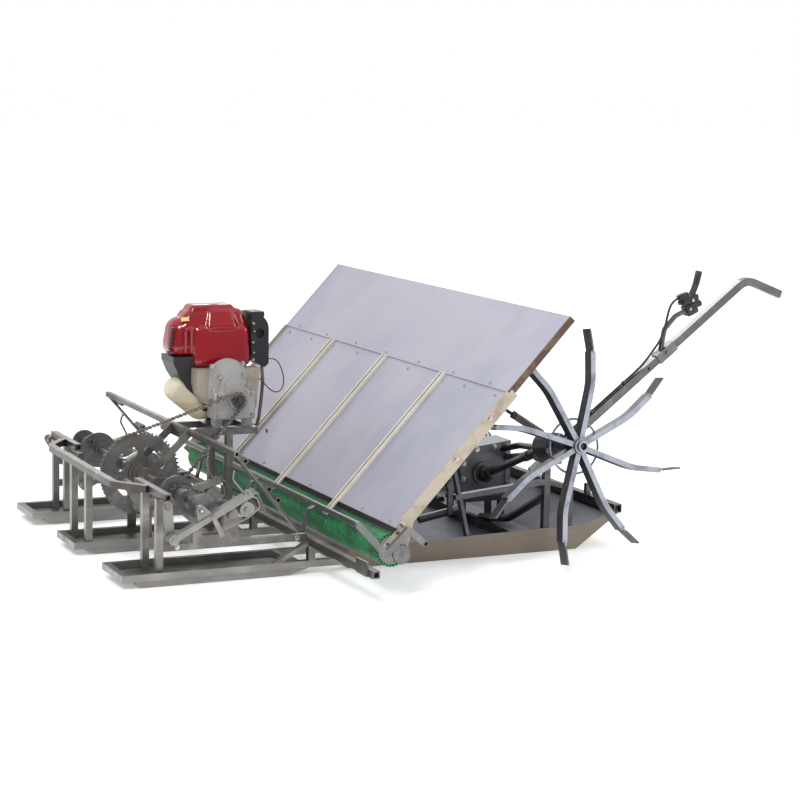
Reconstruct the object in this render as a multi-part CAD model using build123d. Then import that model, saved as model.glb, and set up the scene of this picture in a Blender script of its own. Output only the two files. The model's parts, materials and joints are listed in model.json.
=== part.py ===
from build123d import *
import os
from math import acos, atan2, cos, degrees, hypot, pi, radians, sin, sqrt, tan

# Walk-behind rice transplanter: three skids and a planting gear at the rear, a sliding
# seedling tray over a shallow hull, and two lugged wheels and one handle at the front.
# Millimetres. While it is built, +X points forward to the handle, +Y to the left side,
# +Z up, X = 0 is the rear end of the skids and Y = 0 the middle skid. The last section
# moves everything so that the origin is under the middle of the whole machine's box.

os.makedirs("parts", exist_ok=True)

RIGHT, LEFT = -1, 1
SIDES = (("right", RIGHT), ("left", LEFT))

# ---------------------------------------------------------------- driving dimensions
row_pitch = 300.0            # between planted rows, and between the tray's lanes
skid_pitch = 333.0           # between the three skids
running_fit = 0.05           # radial clearance of a shaft in its bearing
seat_gap = 0.3               # rest clearance between a sliding piece and its guide

# Skids
skid_width = 136.0
skid_tube = 15.0             # square tubes round the skid
runner_depth = 15.0          # height of the runner under the tubes
skid_sheet = 3.0
sheet_end = 375.0
runner_width = 126.0
runner_rear = 30.0
runner_nose = 24.0           # length of the rounded rear end of the runner
runner_flat_end = 374.0
runner_rise_end = 425.0
front_tube_x = 388.5         # centre of the cross tube under the engine stand's post
weld_gap = 0.1               # left between two pieces that are welded end to end
post_size = 15.0
outer_post_x = 88.0
inner_post_offset = 48.0     # from an outer skid's centre line, towards the middle
middle_post_x = 36.0
middle_post_offset = 54.0
deck_top = runner_depth + skid_tube
sheet_top = runner_depth + skid_sheet

# Rear rail and rocker crossbars
rear_tube = 15.0
rear_rail_z = 190.0
bow_half_width = 235.0
crossbar_x = 95.0
crossbar_inner = 215.0
crossbar_outer = 412.0
tube_mouth = 12.0            # depth of the opening shown at a tube's end
tube_wall = 2.5

# Planting gear: main crankshaft, cranks, rockers and arms
shaft_x, shaft_z = 172.0, 165.0
shaft_radius = 8.0
bearing_radius = 20.0
middle_bearing_y = 55.0
middle_bearing_width = 6.0
outer_bearing_y = 379.0
outer_bearing_width = 8.0
crank_radius = 20.0
crank_angle = 172.0          # of rows 1 and 3; rows 2 and 4 stand half a turn further
crank_pin_radius = 6.0
web_radius = 30.0            # outer crank discs
cheek_width = 22.0           # inner crank cheeks
web_thickness = 8.0
throw_half_gap = 24.0        # from an inner row's centre to the near face of each web
outer_crank_y = 412.0        # near face of the overhung crank disc of an outer row
arm_half_width = 10.0
arm_beam_height = 12.0
arm_length = 190.0
arm_pin_along = 79.0         # crank pin on the arm, along the beam from the rear eye
arm_pin_above = 23.5
arm_lug_half_width = 6.0
arm_ring_radius = 11.0
arm_eye_radius = 11.0
rocker_length = 65.5
rocker_thickness = 6.0
rocker_width = 20.0
rocker_gap = 6.0             # between the rocker and the side of the arm
rocker_pin_radius = 5.0
rocker_pivot_x, rocker_pivot_z = 87.0, 176.0
claw_wire_radius = 2.5
claw_spread = 14.0
pusher_rod_radius = 2.5

# Chain drive
chain_pitch = 9.525
chain_plane_y = -6.0
sprocket_thickness = 5.0
chain_gap = 1.0              # between the sprocket plate and the chain's side plates
chain_plate = 2.0
chain_height = 8.0
main_teeth = 60
engine_teeth = 10
feed_teeth = 12
engine_shaft_x, engine_shaft_z = 407.0, 319.0
engine_shaft_radius = 6.0
output_gear_radius = 28.0    # heavy gear inside the reduction case
output_gear = (28.0, 40.0)   # its low and high Y
output_gear_room = 5.0
output_case_radius = 38.0
output_shaft_end = 52.0
counter_x, counter_z = 245.0, 138.0
feed_plane_y = -265.0

# Side rails, crossbeam and top beam
side_rail_y = 375.0
side_rail_bottom, side_rail_top = 70.0, 85.0
crossbeam_x, crossbeam_z = 429.0, 69.0
crossbeam_size = 16.0
crossbeam_half_length = 719.0
top_beam_x, top_beam_z = 272.0, 260.0
top_beam_size = 12.0
top_beam_right, top_beam_left = -345.0, 545.0
gate_bar_width = 20.0
gate_bar_thickness = 5.0
stub_size = 12.0
stub_length = 60.0

# Engine stand
platform_right, platform_left = 2.0, 131.0
platform_front = 458.0
platform_rail = 15.0
stand_near_post_x, stand_near_post_y = 389.0, 9.5
stand_far_post_x, stand_far_post_y = 365.0, 60.0

# Hull
hull_rear = 520.0
hull_bow_foot = 1090.0
hull_bow_tip = 1198.0
hull_half_width = 380.0
hull_wall = 3.0
hull_bow_rise = 75.0
hull_side_heights = ((1198.0, 83.0), (1161.0, 71.0), (1124.0, 56.0), (699.0, 47.0), (520.0, 40.0))
bow_bar_size = 20.0
bow_bar_x, bow_bar_z = 1195.0, 87.0
bow_bar_half_length = 385.0

# Seedling tray, in its own slope: s runs up the tray, n stands square to it
tray_angle = 47.0
tray_foot_x, tray_foot_z = 495.5, 150.0
tray_width = 1200.0
tray_centre_y = -71.0        # the tray stands to the right of the middle of its stroke
tray_stroke = 140.0          # each way from the middle
tray_sheet = 2.0
lower_panel_length = 376.0
upper_panel_start = 366.0
upper_panel_end = 576.0
flange_depth = 20.0
upper_flange_depth = 12.0
flange_thickness = 3.0
rib_width = 20.0
rib_height = 6.0
rib_tail = 40.0              # how far the ribs reach past the tray's lower edge
rib_tail_lift = 2.0
shoe_height = 8.0
guide_rail_size = 16.0
guide_rail_s = 328.0
guide_rail_half_length = 400.0
retaining_rod_radius = 6.5
retaining_rod_s = -32.0
retaining_rod_half_length = 545.0

# Feed roller
roller_x, roller_z = 502.0, 97.5
roller_radius = 36.0
roller_end_gap = 36.0
roller_shaft_radius = 8.0
ratchet_radius = 21.0
ratchet_teeth = 24
ratchet_thickness = 6.0
ratchet_gap = 7.0
lever_thickness = 12.0
lever_width = 13.0

# Wheels
hub_x, hub_y, hub_z = 990.0, 540.0, 270.0
camber = 9.0
# columns: angle of a spoke from level, how much longer than the rest it is
spokes = (
    (73.5, -3.0),
    (24.5, -2.0),
    (-22.0, -2.0),
    (-66.5, -2.0),
    (-108.0, -2.0),
    (-155.0, -3.0),
    (-199.0, -3.0),
    (-242.0, -3.0),
)
spoke_width = 12.0
spoke_depth = 27.0
spoke_bend_at = 145.0
spoke_bend = 14.0
spoke_bend_radius = 160.0
spoke_after_bend = 70.0
paddle_length = 54.0
paddle_thickness = 4.0
paddle_depth = 31.0
paddle_turn = 10.0
hub_radius = 17.0
hub_length = 40.0
hub_ring_radius = 12.0       # raised ring on the hub's outer face
hub_ring_length = 8.0
hub_hole_radius = 8.0
hoop_radius = 60.0
hoop_wire = 2.5
axle_radius = 10.0
housing_radius = 30.0
housing_inner, housing_outer = 150.0, 90.0     # distances from the hub along the axle
housing_boss_radius = 17.0
housing_boss_length = 20.0
axle_end = 105.0

# Side frames over the hull
side_frame_y = 369.0
side_frame_size = 15.0

# Gearbox and drive
gearbox_right, gearbox_left = -45.0, 35.0
gearbox_floor = 62.0
gearbox_mid_y = (gearbox_right + gearbox_left) / 2
drive_shaft_radius = 9.0
ball_radius = 19.0
ball_x, ball_z = 1022.0, 119.0
arm_tube_radius = 8.0

# Handle
handle_size = 20.0
handle_foot = (1180.0, 104.0)
handle_bend_point = (1783.0, 566.0)
handle_end = (1890.0, 525.0)
handle_bend_radius = 45.0
pin_hole_x = 1500.0
pin_hole_radius = 4.0
sleeve_size = 26.0
sleeve_length = 60.0
lever_tube_radius = 6.5
cable_radius = 3.0
cable_lift = 13.5            # cable's axis above the handle's axis
cable_run_top = 1462.0
wire_radius = 1.5

# ---------------------------------------------------------------- shapes used throughout


def block(x, y, z):
    """Box between the low and high values of each axis."""
    spans = (x, y, z)
    centre = Vector(*[(low + high) / 2 for low, high in spans])
    return Pos(centre) * Box(*[high - low for low, high in spans])


def bar(start, end, across, thick, across_direction=(0, 1, 0)):
    """Rectangular bar from one point to another, with its width along a given direction."""
    run = Vector(*end) - Vector(*start)
    plane = Plane(origin=Vector(*start), x_dir=across_direction, z_dir=run.normalized())
    return extrude(plane * Rectangle(across, thick), run.length)


def rod(start, end, radius):
    """Round bar from one point to another."""
    run = Vector(*end) - Vector(*start)
    return extrude(Plane(origin=Vector(*start), z_dir=run.normalized()) * Circle(radius), run.length)


def y_rod(x, z, radius, y_low, y_high):
    """Round bar along Y."""
    return extrude(Plane.XZ.offset(-y_high) * Pos(x, z) * Circle(radius), y_high - y_low)


def y_prism(face, y_low, y_high):
    """A face drawn in X and Z, taken along Y."""
    return extrude(Plane.XZ.offset(-y_high) * face, y_high - y_low)


def outline(points, y_low, y_high):
    """A closed outline of X and Z points, taken along Y."""
    return y_prism(make_face(Polyline(*points, close=True)), y_low, y_high)


def bent_tube(points, radius, section):
    """A section swept along straight runs with one radius at each corner."""
    path = FilletPolyline(*points, radius=radius)
    start = Plane(origin=path @ 0, x_dir=(0, 1, 0), z_dir=path % 0)
    return sweep(start * section, path=path)


def mirrored(solid, side):
    """A right-hand piece, or its left-hand copy."""
    return solid if side == RIGHT else mirror(solid, about=Plane.XZ)


def y_span(side, near, far):
    """Low and high Y of a stretch given by its distances from the middle."""
    return (near, far) if side == LEFT else (-far, -near)


def square_mouth(x, z, size, y_end, inward):
    """Pocket that opens a square tube's end along Y; inward is +1 or -1."""
    inner = size / 2 - tube_wall
    low, high = sorted((y_end, y_end + inward * tube_mouth))
    return block((x - inner, x + inner), (low, high), (z - inner, z + inner))


# ---------------------------------------------------------------- skids


def skid(centre_y, post_x, post_offsets, post_top):
    """One skid: frame of square tubes with a sunk sheet, runner and two posts."""
    half = skid_width / 2
    front = hull_rear - weld_gap
    solid = None
    for side in (RIGHT, LEFT):
        tube = block((0, front), y_span(side, half - skid_tube, half), (runner_depth, deck_top))
        solid = tube if solid is None else solid + tube
    cross_y = (-half + 1, half - 1)
    for x_low in (0, front_tube_x - skid_tube / 2):
        solid += block((x_low, x_low + skid_tube), cross_y, (runner_depth, deck_top))
    solid += block((0, sheet_end), cross_y, (runner_depth, sheet_top))
    runner_points = (
        (runner_rear, runner_depth + 1),
        (runner_rear + runner_nose * 0.1, runner_depth * 0.45),
        (runner_rear + runner_nose * 0.4, runner_depth * 0.15),
        (runner_rear + runner_nose, 0),
        (runner_flat_end, 0),
        (runner_rise_end, runner_depth),
        (runner_flat_end, runner_depth + 1),
    )
    solid += outline(runner_points, -runner_width / 2, runner_width / 2)
    for offset in post_offsets:
        x_span = (post_x - post_size / 2, post_x + post_size / 2)
        y_range = (offset - post_size / 2, offset + post_size / 2)
        solid += block(x_span, y_range, (runner_depth + 1, post_top))
    return Pos(0, centre_y, 0) * solid


rear_tube_bottom = rear_rail_z - rear_tube / 2
side_post_offset = side_rail_y - skid_pitch
skids = {
    "skid_middle": skid(0, middle_post_x, (-middle_post_offset, middle_post_offset), rear_tube_bottom),
    "skid_right": skid(-skid_pitch, outer_post_x, (-side_post_offset, inner_post_offset), rear_tube_bottom),
    "skid_left": skid(skid_pitch, outer_post_x, (-inner_post_offset, side_post_offset), rear_tube_bottom),
}

# ---------------------------------------------------------------- rear rail


rows = (-1.5 * row_pitch, -0.5 * row_pitch, 0.5 * row_pitch, 1.5 * row_pitch)


def rocker_span(row_y):
    """Low and high Y of a row's rocker: inboard of an outer arm, outboard of an inner arm."""
    near_arm = abs(row_y) - arm_half_width - rocker_gap
    far_arm = abs(row_y) + arm_half_width + rocker_gap
    is_outer = abs(row_y) > row_pitch
    near = near_arm - rocker_thickness if is_outer else far_arm
    return y_span(LEFT if row_y > 0 else RIGHT, near, near + rocker_thickness)


def rear_rail():
    """Bow-shaped rail on the posts, two crossbars and the rockers' pivot pins."""
    path_points = (
        (crossbar_x - rear_tube / 2, -bow_half_width - 70, rear_rail_z),
        (middle_post_x, -bow_half_width, rear_rail_z),
        (middle_post_x, bow_half_width, rear_rail_z),
        (crossbar_x - rear_tube / 2, bow_half_width + 70, rear_rail_z),
    )
    path = FilletPolyline(*path_points, radius=40)
    start = Plane(origin=path @ 0, x_dir=(0, 0, 1), z_dir=path % 0)
    solid = sweep(start * Rectangle(rear_tube, rear_tube), path=path)
    for _, side in SIDES:
        x_span = (crossbar_x - rear_tube / 2, crossbar_x + rear_tube / 2)
        z_span = (rear_tube_bottom, rear_tube_bottom + rear_tube)
        solid += block(x_span, y_span(side, crossbar_inner, crossbar_outer), z_span)
    for row_y in rows:
        side = LEFT if row_y > 0 else RIGHT
        low, high = rocker_span(row_y)
        near, far = sorted((abs(low), abs(high)))
        is_outer = abs(row_y) > row_pitch
        boss = (crossbar_outer - 14, near - 0.5) if is_outer else (far + 0.5, crossbar_inner + 14)
        pin = (boss[1] - 2, far + 2) if is_outer else (near - 2, boss[0] + 2)
        solid += y_rod(rocker_pivot_x, rocker_pivot_z, rocker_pin_radius + 4, *y_span(side, *boss))
        solid += y_rod(rocker_pivot_x, rocker_pivot_z, rocker_pin_radius, *y_span(side, *pin))
        head = (pin[1] - 1.5, pin[1]) if is_outer else (pin[0], pin[0] + 1.5)
        solid += y_rod(rocker_pivot_x, rocker_pivot_z, rocker_pin_radius + 3, *y_span(side, *head))
    for _, side in SIDES:
        solid -= square_mouth(crossbar_x, rear_rail_z, rear_tube, side * crossbar_outer, -side)
        solid -= square_mouth(crossbar_x, rear_rail_z, rear_tube, side * crossbar_inner, side)
    return solid


# ---------------------------------------------------------------- side rails and bearings


def bearing_ring(y_low, y_high, radius=bearing_radius):
    """Ring that carries the main crankshaft."""
    ring = y_rod(shaft_x, shaft_z, radius, y_low, y_high)
    return ring - y_rod(shaft_x, shaft_z, shaft_radius + running_fit, y_low, y_high)


def side_rail(side):
    """Rail from the outer post to the crossbeam, with the strap that carries the outer bearing."""
    rear = outer_post_x + post_size / 2
    front = crossbeam_x - crossbeam_size / 2
    near, far = side_rail_y - post_size / 2, side_rail_y + post_size / 2
    solid = block((rear, front), y_span(side, near, far), (side_rail_bottom, side_rail_top))
    low, high = y_span(side, outer_bearing_y - outer_bearing_width / 2, outer_bearing_y + outer_bearing_width / 2)
    bar_front = crossbar_x + rear_tube / 2
    strap = outline(
        (
            (bar_front, rear_rail_z + 4),
            (bar_front, rear_tube_bottom - 6),
            (shaft_x - 12, shaft_z - 40),
            (shaft_x - 12, side_rail_top),
            (shaft_x + 8, side_rail_top),
            (shaft_x + 8, shaft_z),
            (shaft_x - 14, shaft_z - 14),
        ),
        low,
        high,
    )
    solid += strap
    solid += y_rod(shaft_x, shaft_z, bearing_radius, low, high)
    solid -= y_rod(shaft_x, shaft_z, shaft_radius + running_fit, low, high)
    return solid + bearing_block() if side == RIGHT else solid


def bearing_block():
    """Block on the right side rail that carries the countershaft."""
    low, high = -side_rail_y - 8, -side_rail_y + 8
    base = block((counter_x - 66, counter_x + 20), (low, high), (side_rail_top, side_rail_top + 14))
    column = outline(
        (
            (counter_x - 20, side_rail_top + 14),
            (counter_x + 18, side_rail_top + 14),
            (counter_x + 15, counter_z),
            (counter_x - 15, counter_z),
        ),
        low,
        high,
    )
    ring = y_rod(counter_x, counter_z, 17, low, high)
    return base + column + ring - y_rod(counter_x, counter_z, shaft_radius + running_fit, low, high)


# ---------------------------------------------------------------- crankshaft and planting gear


def crank_pin_centre(row_index):
    """Crank pin of a row at rest, in X and Z."""
    angle = radians(crank_angle + (180 if row_index % 2 else 0))
    return shaft_x + crank_radius * cos(angle), shaft_z + crank_radius * sin(angle)


def rear_eye(row_index):
    """Where the arm's rear eye meets its rocker: on both links' circles, below the pivot."""
    pin_x, pin_z = crank_pin_centre(row_index)
    reach = hypot(arm_pin_along, arm_pin_above)
    gap_x, gap_z = pin_x - rocker_pivot_x, pin_z - rocker_pivot_z
    gap = hypot(gap_x, gap_z)
    along = (rocker_length**2 - reach**2 + gap**2) / (2 * gap)
    down = sqrt(rocker_length**2 - along**2)
    unit_x, unit_z = gap_x / gap, gap_z / gap
    return rocker_pivot_x + along * unit_x + down * unit_z, rocker_pivot_z + along * unit_z - down * unit_x


def arm_tilt(row_index):
    """Angle of the arm's beam above level, in degrees."""
    pin_x, pin_z = crank_pin_centre(row_index)
    eye_x, eye_z = rear_eye(row_index)
    return degrees(atan2(pin_z - eye_z, pin_x - eye_x) - atan2(arm_pin_above, arm_pin_along))


def disc(radius, y_low, y_high):
    """Disc on the main crankshaft's axis."""
    return y_rod(shaft_x, shaft_z, radius, y_low, y_high)


def cheek(pin_x, pin_z, y_low, y_high):
    """Round-ended bar from the main shaft to a crank pin."""
    middle = Pos((shaft_x + pin_x) / 2, (shaft_z + pin_z) / 2)
    angle = degrees(atan2(pin_z - shaft_z, pin_x - shaft_x))
    return y_prism(middle * Rot(0, 0, angle) * SlotOverall(crank_radius + cheek_width, cheek_width), y_low, y_high)


def crankshaft():
    """Main shaft with two throws for the inner rows and two overhung cranks for the outer rows."""
    solid = None
    inner = row_pitch / 2
    shaft_stretches = (
        (-outer_crank_y, -inner - throw_half_gap),
        (-inner + throw_half_gap, inner - throw_half_gap),
        (inner + throw_half_gap, outer_crank_y),
    )
    for low, high in shaft_stretches:
        stretch = disc(shaft_radius, low, high)
        solid = stretch if solid is None else solid + stretch
    for index, row_y in enumerate(rows):
        pin_x, pin_z = crank_pin_centre(index)
        side = LEFT if row_y > 0 else RIGHT
        if abs(row_y) > row_pitch:
            web = y_span(side, outer_crank_y, outer_crank_y + web_thickness)
            pin = y_span(side, outer_crank_y, abs(row_y) + arm_half_width)
            solid += disc(web_radius, *web)
            solid += disc(bearing_radius - 5, *y_span(side, outer_bearing_y + outer_bearing_width, outer_crank_y))
        else:
            pin = (row_y - throw_half_gap, row_y + throw_half_gap)
            for low, high in (
                (row_y - throw_half_gap - web_thickness, row_y - throw_half_gap),
                (row_y + throw_half_gap, row_y + throw_half_gap + web_thickness),
            ):
                solid += cheek(pin_x, pin_z, low, high)
        solid += y_rod(pin_x, pin_z, crank_pin_radius, *pin)
    # columns: radius, low Y, high Y of the discs, collars and hubs along the shaft
    collars = (
        (42.0, 300.0, 307.0),
        (12.0, 288.0, 300.0),
        (38.0, -250.0, -243.0),
        (13.0, -259.0, -250.0),
        (15.0, -306.0, -271.0),
        (19.0, -320.0, -306.0),
    )
    for radius, low, high in collars:
        solid += disc(radius, low, high)
    boss_angle = radians(134)
    boss_x, boss_z = shaft_x + 31 * cos(boss_angle), shaft_z + 31 * sin(boss_angle)
    solid += y_rod(boss_x, boss_z, 7, 290, 300)
    solid -= y_rod(boss_x, boss_z, 4, 290, 298)
    sprocket = Pos(shaft_x, shaft_z) * toothed_face(feed_teeth, pitch_radius(feed_teeth))
    return solid + y_prism(sprocket, *sprocket_span(feed_plane_y))


def toothed_face(teeth, pitch_radius):
    """Sprocket outline in X and Z about the origin."""
    step = 360 / teeth
    # columns: share of a tooth's step, height against the pitch circle
    flanks = ((-0.25, -3.0), (-0.09, 2.6), (0.09, 2.6), (0.25, -3.0))
    points = []
    for tooth in range(teeth):
        for share, height in flanks:
            angle = radians((tooth + share) * step)
            points.append(((pitch_radius + height) * cos(angle), (pitch_radius + height) * sin(angle)))
    return make_face(Polyline(*points, close=True))


def pitch_radius(teeth):
    """Pitch radius of a sprocket."""
    return chain_pitch / (2 * sin(pi / teeth))


def sprocket_span(plane_y):
    """Low and high Y of a sprocket plate in a chain plane."""
    return plane_y - sprocket_thickness / 2, plane_y + sprocket_thickness / 2


def main_sprocket():
    """Large sprocket with four kidney openings and a stepped hub."""
    face = Pos(shaft_x, shaft_z) * toothed_face(main_teeth, pitch_radius(main_teeth))
    for quarter in range(4):
        arc = CenterArc((shaft_x, shaft_z), 51, 22 + 90 * quarter, 46)
        face -= SlotArc(arc, 25)
    low, high = sprocket_span(chain_plane_y)
    solid = y_prism(face, low, high)
    # columns: radius, length of each step of the hub on the right of the plate
    steps = ((30.0, 8.0), (24.0, 9.0), (17.0, 12.0))
    start = low
    for radius, length in steps:
        solid += disc(radius, start - length, start)
        start -= length
    solid += disc(24, high, high + 6)
    return solid - disc(shaft_radius, start, high + 6)


def chain(plane_y, first, second):
    """Two bands of side plates round a pair of sprockets, pinned together on the free strands.

    first and second are (x, z, teeth).
    """
    circles = [(x, z, pitch_radius(teeth)) for x, z, teeth in (first, second)]
    half = chain_height / 2
    faces = []
    for grow in (half, -half):
        edges = [(Pos(x, z) * Circle(radius + grow)).edge() for x, z, radius in circles]
        faces.append(make_hull(edges))
    band = faces[0] - faces[1]
    near = plane_y - sprocket_thickness / 2 - chain_gap
    far = plane_y + sprocket_thickness / 2 + chain_gap
    solid = y_prism(band, near - chain_plate, near)
    solid += y_prism(band, far, far + chain_plate)
    (x1, z1, r1), (x2, z2, r2) = circles
    centre_gap = hypot(x2 - x1, z2 - z1)
    heading = atan2(z2 - z1, x2 - x1)
    lean = acos((r1 - r2) / centre_gap)
    for turn in (1, -1):
        angle = heading + turn * lean
        start = Vector(x1 + r1 * cos(angle), z1 + r1 * sin(angle))
        end = Vector(x2 + r2 * cos(angle), z2 + r2 * sin(angle))
        strand = (end - start).length
        clear = 4.2 * chain_pitch
        count = max(1, int((strand - 2 * clear) / (2 * chain_pitch)) + 1)
        for link in range(count):
            spot = start + (end - start) * ((clear + 2 * chain_pitch * link) / strand)
            solid += y_rod(spot.X, spot.Y, 2.5, near - chain_plate / 2, far + chain_plate / 2)
    return solid


def countershaft():
    """Feed countershaft with its sprocket and cam disc."""
    solid = y_rod(counter_x, counter_z, shaft_radius, -side_rail_y - 14, feed_plane_y + 16)
    sprocket = Pos(counter_x, counter_z) * toothed_face(feed_teeth, pitch_radius(feed_teeth))
    solid += y_prism(sprocket, *sprocket_span(feed_plane_y))
    solid += y_rod(counter_x, counter_z, 15, -350, -300)
    solid += y_rod(counter_x, counter_z, 24, -336, -328)
    return solid


def engine_sprocket():
    """Small driving sprocket on the engine's output shaft, with the gear inside the case."""
    low, high = sprocket_span(chain_plane_y)
    face = Pos(engine_shaft_x, engine_shaft_z) * toothed_face(engine_teeth, pitch_radius(engine_teeth))
    solid = y_prism(face, low, high)
    solid += y_rod(engine_shaft_x, engine_shaft_z, engine_shaft_radius, low - 6, output_shaft_end)
    return solid + y_rod(engine_shaft_x, engine_shaft_z, output_gear_radius, *output_gear)


# Strap loop and its roller in the arm's own drawing: along the beam, and square to it
strap_loop = ((97, -5), (188, -5), (197, -14), (194, -36), (163, -43), (97, -38))
loop_roller = (166.0, -25.5)
loop_roller_radius = 16.0


def arm_place(index):
    """Location that carries an arm's own drawing, rear eye at its origin, to its place."""
    eye_x, eye_z = rear_eye(index)
    return Pos(eye_x, rows[index], eye_z) * Rot(0, -arm_tilt(index), 0)


def planting_arm(index):
    """Beam with rear eye, crank lug, strap loop with its roller, link and pusher rod."""
    half = arm_half_width
    top = arm_beam_height / 2
    solid = block((0, arm_length), (-half, half), (-top, top))
    solid += y_rod(0, 0, arm_eye_radius, -half, half)
    solid += y_rod(0, 0, rocker_pin_radius, -half - 2, half + 2)
    lug = (
        (arm_pin_along - 18, top - 1),
        (arm_pin_along + 18, top - 1),
        (arm_pin_along + arm_ring_radius, arm_pin_above),
        (arm_pin_along - arm_ring_radius, arm_pin_above),
    )
    solid += outline(lug, -arm_lug_half_width, arm_lug_half_width)
    solid += y_rod(arm_pin_along, arm_pin_above, arm_ring_radius, -arm_lug_half_width, arm_lug_half_width)
    loop = make_face(Polyline(*strap_loop, close=True))
    loop = fillet(loop.vertices(), 5)
    solid += y_prism(loop - offset(loop, -2.5), -half, half)
    roller_x_own, roller_z_own = loop_roller
    solid += y_rod(roller_x_own, roller_z_own, loop_roller_radius, -half + 1, half - 1)
    solid += y_rod(roller_x_own, roller_z_own, 6, -half - 3, half + 3)
    solid += bar((94, -half - 1.5, 3), (93, -half - 1.5, -46), 3, 10)
    solid += y_rod(arm_length - 4, 2, 5, -half - 3, half + 3)
    rod_points = ((178, 0, 4), (169, 0, 45), (180, 0, 60))
    solid += bent_tube(rod_points, 12, Circle(pusher_rod_radius))
    solid -= y_rod(arm_pin_along, arm_pin_above, crank_pin_radius + running_fit, -half, half)
    return arm_place(index) * solid


def planting_claw(index):
    """Two-pronged claw clamped to the front of the arm."""
    front = arm_length
    solid = block((front, front + 9), (-10, 10), (-6, 6))
    for y in (-claw_spread / 2, claw_spread / 2):
        points = ((front + 4, y, 0), (front + 12, y, -6), (front + 9, y, -50))
        solid += bent_tube(points, 4, Circle(claw_wire_radius))
    return arm_place(index) * solid - planting_arm(index)


def rocker(index):
    """Strap from the crossbar's pivot down to the arm's rear eye."""
    low, high = rocker_span(rows[index])
    eye_x, eye_z = rear_eye(index)
    run_x, run_z = eye_x - rocker_pivot_x, eye_z - rocker_pivot_z
    angle = degrees(atan2(run_z, run_x))
    centre = Pos((rocker_pivot_x + eye_x) / 2, (rocker_pivot_z + eye_z) / 2)
    face = centre * Rot(0, 0, angle) * SlotOverall(rocker_length + rocker_width, rocker_width)
    solid = y_prism(face, low, high)
    return solid - y_rod(rocker_pivot_x, rocker_pivot_z, rocker_pin_radius + running_fit, low, high)


# ---------------------------------------------------------------- crossbeam, top beam and gate bars


def crossbeam():
    """Square beam across the machine, on posts and braces from the skids' side tubes."""
    half = crossbeam_size / 2
    x_span = (crossbeam_x - half, crossbeam_x + half)
    z_span = (crossbeam_z - half, crossbeam_z + half)
    solid = block(x_span, (-crossbeam_half_length, crossbeam_half_length), z_span)
    for _, side in SIDES:
        solid -= square_mouth(crossbeam_x, crossbeam_z, crossbeam_size, side * crossbeam_half_length, -side)
        end_plate = y_span(side, crossbeam_half_length - 75, crossbeam_half_length - 22)
        solid += block((x_span[0] - 4, x_span[0] + 1), end_plate, (z_span[0], z_span[1] + 14))
    tube_offset = (skid_width - skid_tube) / 2
    for centre_y in (-skid_pitch - tube_offset, -tube_offset, tube_offset, skid_pitch + tube_offset):
        y_range = (centre_y - skid_tube / 2, centre_y + skid_tube / 2)
        solid += block((crossbeam_x - 12, crossbeam_x + 3), y_range, (deck_top, z_span[0] + 1))
        brace = bar((338, centre_y, deck_top - 4), (x_span[0] - 6, centre_y, z_span[0] + 6), skid_tube, 10)
        if abs(centre_y) > skid_pitch:
            solid += brace - block((300, crossbeam_x), (centre_y - 20, centre_y + 20), (0, deck_top))
    return solid


def top_beam():
    """Square beam that joins the engine stand and the gate bars."""
    half = top_beam_size / 2
    x_span = (top_beam_x - half, top_beam_x + half)
    z_span = (top_beam_z - half, top_beam_z + half)
    solid = block(x_span, (top_beam_right, top_beam_left), z_span)
    solid -= square_mouth(top_beam_x, top_beam_z, top_beam_size, top_beam_right, 1)
    return solid - square_mouth(top_beam_x, top_beam_z, top_beam_size, top_beam_left, -1)


def gate_bar(end_y, inward):
    """Flat bar from an end of the top beam down to the crossbeam, with three square stubs."""
    y = end_y + inward * gate_bar_width / 2
    top = (top_beam_x, y, top_beam_z - top_beam_size / 2 + 1)
    foot = (crossbeam_x - 4, y, crossbeam_z + crossbeam_size / 2 - 2)
    solid = bar(top, foot, gate_bar_width, gate_bar_thickness)
    run = Vector(*foot) - Vector(*top)
    normal = Vector(-run.Z, 0, run.X).normalized() * (gate_bar_thickness / 2 + stub_size / 2 - 0.5)
    for share in (0.09, 0.45, 0.59):
        spot = Vector(*top) + run * share + normal * (1 if run.X > 0 else -1)
        y_ends = sorted((end_y, end_y + inward * stub_length))
        tilt = degrees(atan2(run.Z, run.X))
        stub = Pos(spot.X, sum(y_ends) / 2, spot.Z) * Rot(0, -tilt, 0) * Box(stub_size, stub_length, stub_size)
        inner = stub_size - 2 * tube_wall
        hollow = Pos(spot.X, sum(y_ends) / 2, spot.Z) * Rot(0, -tilt, 0) * Box(inner, stub_length, inner)
        solid += stub - hollow
    return solid


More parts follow.
